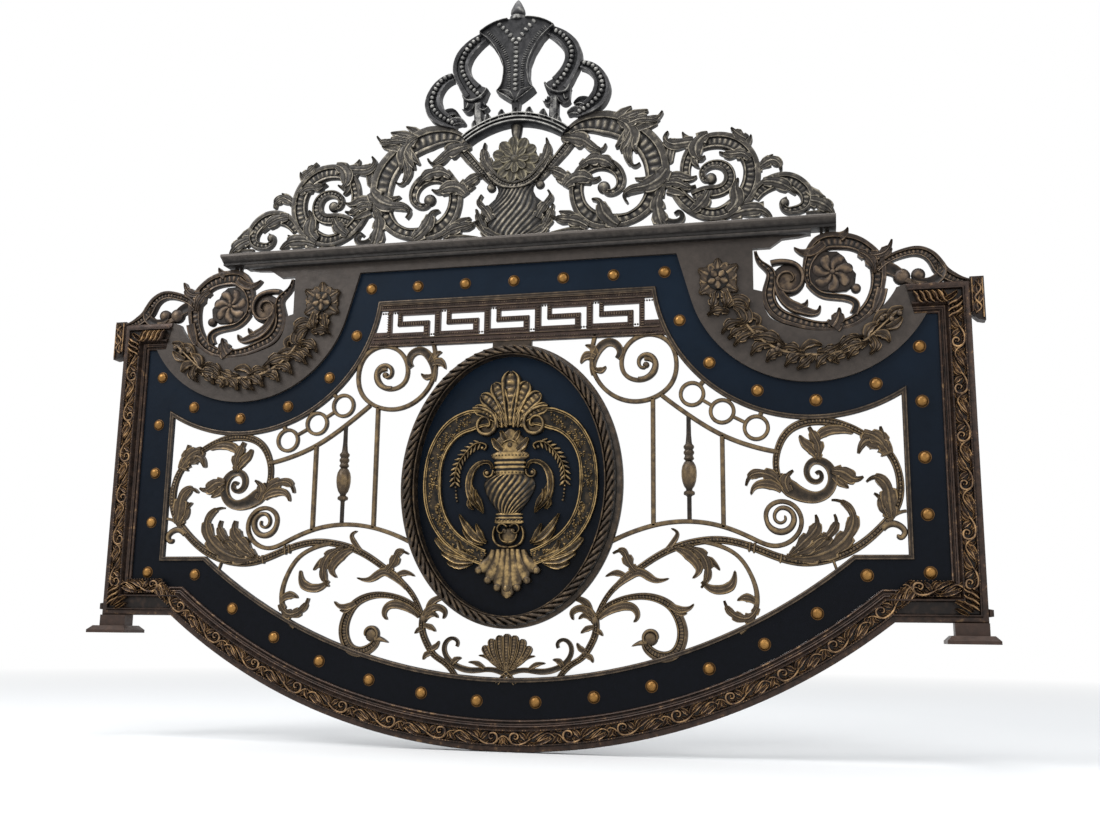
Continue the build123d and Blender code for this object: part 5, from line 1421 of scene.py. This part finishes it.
def build_cartouche():
    cartouche = Casting(-1, 3, 13)
    cartouche.stroke("moulded", CARTOUCHE, (46, 62, 58, 52, 50, 52, 52, 50, 48, 46, 44))
    cartouche.dome(66, 570, 29, rise=3, floor=4, sides=28)
    cartouche.stroke("round", CARTOUCHE_CURL, (9, 11, 12, 11, 9, 6), 6)
    centre, _ = spline(CARTOUCHE[1:], 3)
    normal = normals_of(centre)
    chance = np.random.default_rng(CRUMB_SEED)
    for turns in ((0.4, 2.0, 3.1), (1.2, 0.2, 2.5)):
        offset = chance.uniform(-CRUMB_SPREAD, CRUMB_SPREAD, len(centre))
        places = centre + normal * offset[:, None]
        chosen = chance.permutation(len(centre))[:CRUMBS]
        repeated(cartouche, [flat_path(places[chosen])], crumb_unit(turns), variation=0.4)
    cartouche.mirror()
    single("oval_cartouche", cartouche, finish("gold"))


def branch(casting):
    """The stem beside the urn's lid, with a pair of leaves at each place and its berries."""
    stem, _ = spline(BRANCH, 13)
    for place, right, way in zip(stem, normals_of(stem), directions_of(stem)):
        for hand in (-1, 1):
            tip = place + way * 15 + right * hand * 15
            casting.stroke("round", [place, tip], (3, 10, 3), 0.5, 6)
    for x, z in BRANCH_BERRIES:
        casting.dome(x, z, 4, rise=5, sides=8, levels=3)


def fan_stroke(casting, kind, base, tip, bend, widths, lift):
    """A stroke bent towards its tip, which lies at the given shares of its width and height."""
    middle = (base[0] + (tip[0] - base[0]) * bend[0], base[1] + (tip[1] - base[1]) * bend[1])
    casting.stroke(kind, [base, middle, tip], widths, lift)


def urn_half():
    half = Casting(-1, 2, 12)
    half.draw(URN_SIDE)
    half.dome(0, 266, 24, rise=6, floor=3)
    half.dome(11, 280, 8, rise=5, floor=6)
    half.dome(64, 437, 7, rise=6, floor=6)
    half.dome(78, 506, 5, rise=5, floor=6)
    branch(half)
    for base, tip, width, lift in TOP_PALMETTE:
        widths = (width * 0.3, width * 0.6, width * 0.85, width, width)
        fan_stroke(half, "petal", base, tip, (0.4, 0.6), widths, lift)
    for k, (foot, tip) in enumerate(LOW_PALMETTE):
        fan_stroke(half, "round", foot, tip, (0.3, 0.55), (15, 23, 32, 40, 42), 3 - k)
        half.dome(*tip, 11, rise=5, floor=13 - k, sides=12)
    for x in (10, 22, 34):
        half.stroke("round", [(x, 560), (x * 1.2, 598)], (9, 11), 4)
    return half


def build_urn():
    urn = Casting(-1, 2, 14)
    urn.swell(URN_BOWL, 15, 4, -4.9, across=81)
    urn.swell(URN_NECK, 13)
    urn.swell(URN_FOOT, 12)
    urn.join_both(urn_half())
    urn.stroke("petal", [(0, 566), (0, 640), (0, 716)], (16, 34, 48, 58, 60), 4)
    urn.stroke("round", [(0, 232), (0, 170), (0, 103)], (14, 21, 30, 38, 44), 3)
    urn.dome(0, 128, 12, rise=5, floor=14, sides=12)
    # Dark filler plates behind the palmettes: painted shade in the gaps between their fingers
    for outline in ([(0, 700), (42, 674), (78, 642), (90, 612), (24, 562), (0, 560)],
                    [(0, 236), (40, 232), (70, 186), (48, 162), (0, 118)]):
        urn.slab(both(outline), front=5, shade=0.15)
    for z, half_width in ((437, 40), (484, 48), (308, 34)):
        repeated(urn, [level_path(z, half_width)], bead_unit(7, 6, 13, 4), 9)
    urn.swell([(494, 38), (506, 46), (522, 46), (540, 30), (556, 8)], 8)
    urn.stroke("round", [(-24, 512), (0, 526), (24, 512)], (4, 6, 4), 8, 5)
    urn.dome(0, 512, 7, rise=5, floor=9)
    single("oval_urn", urn, finish("gold"))


def frieze_ribs():
    """Where the small ribs run: up between the units, and along and up inside each unit."""
    foot = OPENING_TOP - FRIEZE_HEIGHT
    paths = []
    for unit in range(-1, FRIEZE_UNITS):
        start = FRIEZE_PITCH * (unit - FRIEZE_UNITS / 2) + 7
        lines = [((136.5, 30), (136.5, 94))]
        if unit >= 0:
            lines += [((20, 66), (108, 66)), ((24, 74), (24, 94)), ((104, 34), (104, 60))]
        paths += [flat_path([(start + x, foot + z) for x, z in line]) for line in lines]
    return paths


def build_frieze_trim():
    trim = Casting(3, 4, 8)
    rib = Casting(3, 4, 7.5)
    rib.stroke("round", [(0, -4.5), (0, 4.5)], (4.5,))
    for z, half_width in ((917, 382), (899.5, 388), (834, 405), (813, 414)):
        repeated(trim, [level_path(z, half_width)], bead_unit(6, 6, 4, 3), 7)
    repeated(trim, frieze_ribs(), rib, 6.5)
    for z, half_width in ((923, 384), (909, 386), (825, 408), (804.5, 417)):
        trim.stroke("round", [(-half_width, z), (half_width, z)], (4,))
    single("key_frieze_trim", trim, finish("dark"), stands_for=False)


def build_scrollwork():
    for name, strokes, eyes in (("volute", VOLUTE, [(370, 722, 9, 9)]),
                                ("leaf_scroll", LEAF_SCROLL, []),
                                ("spray", SPRAY, [(234, 48, 12, 9), (379, 4, 20, 10)])):
        casting = Casting(*INFILL_DEPTHS)
        casting.draw(strokes)
        for x, z, radius, rise in eyes:
            casting.dome(x, z, radius, rise=rise)
        pair(name, casting, finish("relief"))


def build_grille():
    grille = Casting(*INFILL_DEPTHS)
    grille.draw(GRILLE)
    for place in RING_PLACES:
        ring = arc(place, RING_RADIUS - 5, 0, 360, 10)
        grille.sweep(ring[:-1], [(-5, 2), (-3, 4), (3, 4), (5, 2)], INFILL_DEPTHS[0], loop=True)
    inset = RING_RADIUS - 3
    for first, second in zip(RING_PLACES, RING_PLACES[1:]):
        along = np.array(second, float) - first
        along /= np.linalg.norm(along)
        grille.stroke("bar", [first + along * inset, second - along * inset], (9,))
    for place in RING_PLACES:
        towards = np.array(SHOULDER, float) - place
        length = np.linalg.norm(towards)
        start = place + towards / length * inset
        stop = place + towards / length * (length - SHOULDER_OPENING_RADIUS)
        grille.stroke("bar", [start, stop], (12,))
    pair("bar_grille", grille, finish("relief"))


def build_baluster():
    baluster = Casting(*INFILL_DEPTHS)
    baluster.lathe(BALUSTER_PLACE, INFILL_DEPTHS[1], BALUSTER, 20)
    pair("baluster", baluster, finish("relief"))


def build_shell():
    shell = Casting(*INFILL_DEPTHS)
    shell.draw(SHELL_SIDE)
    for x, z in ((20, 7), (42, -2), (62, -20)):
        shell.stroke("petal", [(x * 0.25, -78), (x * 0.85, -40), (x, z)], (8, 18, 24), 2)
    shell.mirror()
    shell.stroke("petal", [(0, -80), (0, -40), (0, 11)], (8, 18, 24), 4)
    shell.dome(0, -76, 12, rise=8)
    single("shell_cluster", shell, finish("relief"))


def build_crest_scrolls():
    for name, strokes in (("inner_crest_scroll", INNER_CREST),
                          ("outer_crest_scroll", OUTER_CREST)):
        crest = Casting(-8, 3, 10, CREST)
        crest.draw(strokes)
        for x, z, radius in CREST_EYES[name]:
            crest.dome(x, z, radius, rise=11)
        pair(name, crest, finish("casting"))


def build_crest_urn():
    urn = Casting(-8, 0, 10, CREST)
    urn.slab(both(CREST_URN), front=4, shade=0.3)
    urn.swell(CREST_BOWL, 14, 4.2, -6.6, across=61)
    half = Casting(-8, 3, 10, CREST)
    half.draw(CREST_URN_SIDE)
    half.dome(71, 1260, 13)
    urn.join_both(half)
    urn.dome(*ROSETTE, 63, rise=1.5, floor=4, sides=32)
    urn.stroke("round", [(0, 1385), (0, 1460)], (30, 22, 30, 34, 28))
    single("crest_urn", urn, finish("casting"))


def build_rosette():
    rosette = Casting(9, 10, 20, CREST)
    rosette.dome(*ROSETTE, 56, rise=3, floor=10, sides=24)
    for petals, start, reach, widths, lift in ((11, 26, 69, (20, 34, 34), 0),
                                               (8, 10, 42, (10, 24, 26), 5)):
        for turn in range(petals):
            angle = 2 * pi * turn / petals + 0.1 * petals
            rosette.stroke("lobe", [spoke(ROSETTE, angle, start), spoke(ROSETTE, angle, reach)],
                           widths, lift, 5)
    rosette.dome(*ROSETTE, 14, rise=5, floor=16)
    single("crest_rosette", rosette, finish("olive"))


def crown_bead(width, floor):
    bead = bead_unit(14, width, floor, 9, 6)
    # Raises the beads' painted highlights and shade
    bead.shades = [shade * 0.9 + 0.22 for shade in bead.shades]
    return bead


def bead_row(casting, points, unit, spacing):
    """A row of a unit along the smooth line through the points."""
    path, _ = spline(points, 4)
    repeated(casting, [flat_path(path)], unit, spacing)


def build_crown_band():
    band = Casting(-14, 16, 30, CROWN)
    line = [(-150, 1415), (-76, 1455), (0, 1469), (76, 1455), (150, 1415)]
    band.stroke("banded", line, (30, 34, 30))
    for x, z in ((-118, 1452), (-80, 1468), (-40, 1478), (0, 1480), (40, 1478), (80, 1468),
                 (118, 1452)):
        band.stroke("leaf", [(x, z - 8), (x * 1.02, z + 6), (x * 1.04 + 4, z + 18)], (20, 22, 8))
    single("crown_band", band, finish("crown"))


def build_crown_arch(name, strokes, slab, beads, spacing):
    """One of the outer arches: its strokes, a slab behind them or none, and its beads."""
    arch = Casting(-8, 8, 22)
    arch.draw(strokes[:1])
    if slab:
        arch.slab(slab, front=16)
    arch.draw(strokes[1:])
    bead_row(arch, beads, crown_bead(17, 19), spacing)
    pair(name, arch, finish("crown"))


def build_centre_arch(spacing):
    bead = crown_bead(20, 22)
    centre = Casting(-8, 16, 30)
    centre.slab(both(CENTRE_ARCH), front=24, shade=0.35)
    centre.slab(both([(6, 1452), (14, 1516)]), front=22)
    half = Casting(-8, 16, 30)
    half.draw(CENTRE_ARCH_SIDE)
    rib = Casting(22, 23, 27)
    rib.stroke("round", [(0, -5), (0, 5)], (3,))
    bead_row(half, [(86, 1724), (54, 1690), (30, 1648), (21, 1610), (20, 1570), (20, 1545)],
             rib, 7)
    bead_row(half, [(9, 1694), (24, 1716), (37, 1731), (52, 1746)], bead, spacing)
    centre.join_both(half)
    repeated(centre, [[(0, 0, 1540), (0, 0, 1682)]], bead, spacing)
    single("crown_centre_arch", centre, finish("crown"))


def build_finial():
    finial = Casting(-14, 0, 10)
    finial.lathe(0, 8, [(radius, FINIAL_FOOT + FINIAL_HEIGHT * share)
                        for radius, share in FINIAL])
    single("crown_finial", finial, finish("crown"))


def build_floor(context):
    """A matt floor that fades into the backdrop with the distance."""
    low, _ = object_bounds()
    bpy.ops.mesh.primitive_plane_add(size=FLOOR_SIZE, location=(MIDDLE, 1.0, low.z - 0.0005))
    floor = context.object
    floor.name = "floor"
    material = bpy.data.materials.new("floor")
    material.use_nodes = True
    tree = material.node_tree
    shader = tree.nodes["Principled BSDF"]
    set_inputs(tree, shader, {"Base Color": (*context.scene.fence_panel.floor_colour, 1),
                              "Roughness": 0.9})
    place = tree.nodes.new("ShaderNodeTexCoord").outputs["Object"]
    reach = add_node(tree, "ShaderNodeVectorMath", {0: place}, operation="LENGTH")
    fade = ranged(tree, reach.outputs["Value"], 0, 1, FADE_START, FADE_END)
    plain = tree.nodes.new("ShaderNodeEmission")
    blend = add_node(tree, "ShaderNodeMixShader", {
        0: combine(tree, "MULTIPLY", fade, background_rays(tree)), 1: shader.outputs[0],
        2: plain.outputs[0]})
    set_inputs(tree, tree.nodes["Material Output"], {"Surface": blend.outputs[0]})
    floor.data.materials.append(material)
    floor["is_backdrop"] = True


def build_lamps(context):
    for name, place, size, energy in LAMPS:
        lamp = bpy.data.lights.new(name, "AREA")
        lamp.size = size
        lamp.energy = energy
        holder = bpy.data.objects.new(name, lamp)
        holder.location = place
        aim = LAMP_TARGET - holder.location
        holder.rotation_euler = aim.to_track_quat("-Z", "Y").to_euler()
        context.collection.objects.link(holder)


def build_backdrop(context):
    """White where it is seen, and a soft cool light on the panel."""
    world = context.scene.world or bpy.data.worlds.new("world")
    context.scene.world = world
    world.use_nodes = True
    tree = world.node_tree
    tree.nodes.clear()
    white = add_node(tree, "ShaderNodeBackground", {"Color": (1, 1, 1, 1)})
    ambient = add_node(tree, "ShaderNodeBackground", {"Color": (0.92, 0.96, 1.0, 1),
                                                      "Strength": 0.7})
    mix = add_node(tree, "ShaderNodeMixShader", {
        0: background_rays(tree), 1: ambient.outputs[0], 2: white.outputs[0]})
    add_node(tree, "ShaderNodeOutputWorld", {"Surface": mix.outputs[0]})
    context.scene.view_settings.view_transform = "Standard"


def build_camera(context):
    camera = bpy.data.cameras.new("camera")
    camera.sensor_width = 36
    camera.lens = CAMERA_LENS
    viewer = bpy.data.objects.new("camera", camera)
    context.collection.objects.link(viewer)
    axes = Matrix((CAMERA_RIGHT, CAMERA_BACK.cross(CAMERA_RIGHT), CAMERA_BACK))
    viewer.matrix_world = Matrix.Translation(CAMERA_PLACE) @ axes.transposed().to_4x4()
    context.scene.camera = viewer


class FENCE_OT_frame(bpy.types.Operator):
    """Build the stiles, the bottom rail, the short top rails, the feet and the brackets"""
    bl_idname = "fence.frame"
    bl_label = "Frame"

    def execute(self, context):
        build_stile()
        build_bottom_rail()
        build_short_rail()
        for side in ("left_", "right_"):
            coat(side + "foot", finish("plain"))
        build_bracket()
        return {"FINISHED"}


class FENCE_OT_field(bpy.types.Operator):
    """Build the studs, the rim of the opening, the shoulder scrolls, the garlands and the cornice"""
    bl_idname = "fence.field"
    bl_label = "Field and shoulders"

    def execute(self, context):
        for node in FIELD_SHEETS:
            coat(node, finish("navy"))
        for node in FIELD_PLATES:
            coat(node, finish("plate"))
        build_studs(context.scene.fence_panel.stud_radius / MM)
        build_opening_rim()
        build_shoulder_scroll()
        build_garland()
        build_cornice()
        return {"FINISHED"}


class FENCE_OT_medallion(bpy.types.Operator):
    """Build the oval rim with its rope, the cartouche and the urn"""
    bl_idname = "fence.medallion"
    bl_label = "Medallion"

    def execute(self, context):
        build_oval_rim(context.scene.fence_panel.rope_spacing / MM)
        coat("oval_plate", finish("oval"))
        build_cartouche()
        build_urn()
        return {"FINISHED"}


class FENCE_OT_infill(bpy.types.Operator):
    """Build the key frieze's trim and the scrollwork in the opening"""
    bl_idname = "fence.infill"
    bl_label = "Infill"

    def execute(self, context):
        coat("key_frieze", finish("plain"))
        build_frieze_trim()
        build_scrollwork()
        build_grille()
        build_baluster()
        build_shell()
        return {"FINISHED"}


class FENCE_OT_crest(bpy.types.Operator):
    """Build the crest on the cornice"""
    bl_idname = "fence.crest"
    bl_label = "Crest"

    def execute(self, context):
        build_crest_scrolls()
        build_crest_urn()
        build_rosette()
        return {"FINISHED"}


class FENCE_OT_crown(bpy.types.Operator):
    """Build the crown over the crest"""
    bl_idname = "fence.crown"
    bl_label = "Crown"

    def execute(self, context):
        spacing = context.scene.fence_panel.bead_spacing / MM
        build_crown_band()
        build_crown_arch("inner_crown_arch", INNER_ARCH, INNER_ARCH_SLAB, INNER_ARCH_BEADS, spacing)
        build_crown_arch("outer_crown_arch", OUTER_ARCH, None, OUTER_ARCH_BEADS, spacing)
        build_centre_arch(spacing)
        build_finial()
        return {"FINISHED"}


class FENCE_OT_stage(bpy.types.Operator):
    """Build the floor, the lamps, the backdrop and the camera"""
    bl_idname = "fence.stage"
    bl_label = "Stage"

    def execute(self, context):
        build_floor(context)
        build_lamps(context)
        build_backdrop(context)
        build_camera(context)
        return {"FINISHED"}


OPERATORS = (FENCE_OT_frame, FENCE_OT_field, FENCE_OT_medallion, FENCE_OT_infill,
             FENCE_OT_crest, FENCE_OT_crown, FENCE_OT_stage)


class FENCE_PT_panel(bpy.types.Panel):
    """The steps that build the panel, and its sizes"""
    bl_idname = "FENCE_PT_panel"
    bl_label = "Fence panel"
    bl_space_type = "VIEW_3D"
    bl_region_type = "UI"
    bl_category = "Fence"

    def draw(self, context):
        for name in FencePanelSettings.__annotations__:
            self.layout.prop(context.scene.fence_panel, name)
        for operator in OPERATORS:
            self.layout.operator(operator.bl_idname)


def register():
    for kind in (FencePanelSettings, *OPERATORS, FENCE_PT_panel):
        bpy.utils.register_class(kind)
    bpy.types.Scene.fence_panel = bpy.props.PointerProperty(type=FencePanelSettings)


def unregister():
    del bpy.types.Scene.fence_panel
    for kind in (FENCE_PT_panel, *reversed(OPERATORS), FencePanelSettings):
        bpy.utils.unregister_class(kind)


def main():
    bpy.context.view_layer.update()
    register()
    for step in ("frame", "field", "medallion", "infill", "crest", "crown", "stage"):
        getattr(bpy.ops.fence, step)()


if __name__ == "__main__":
    main()
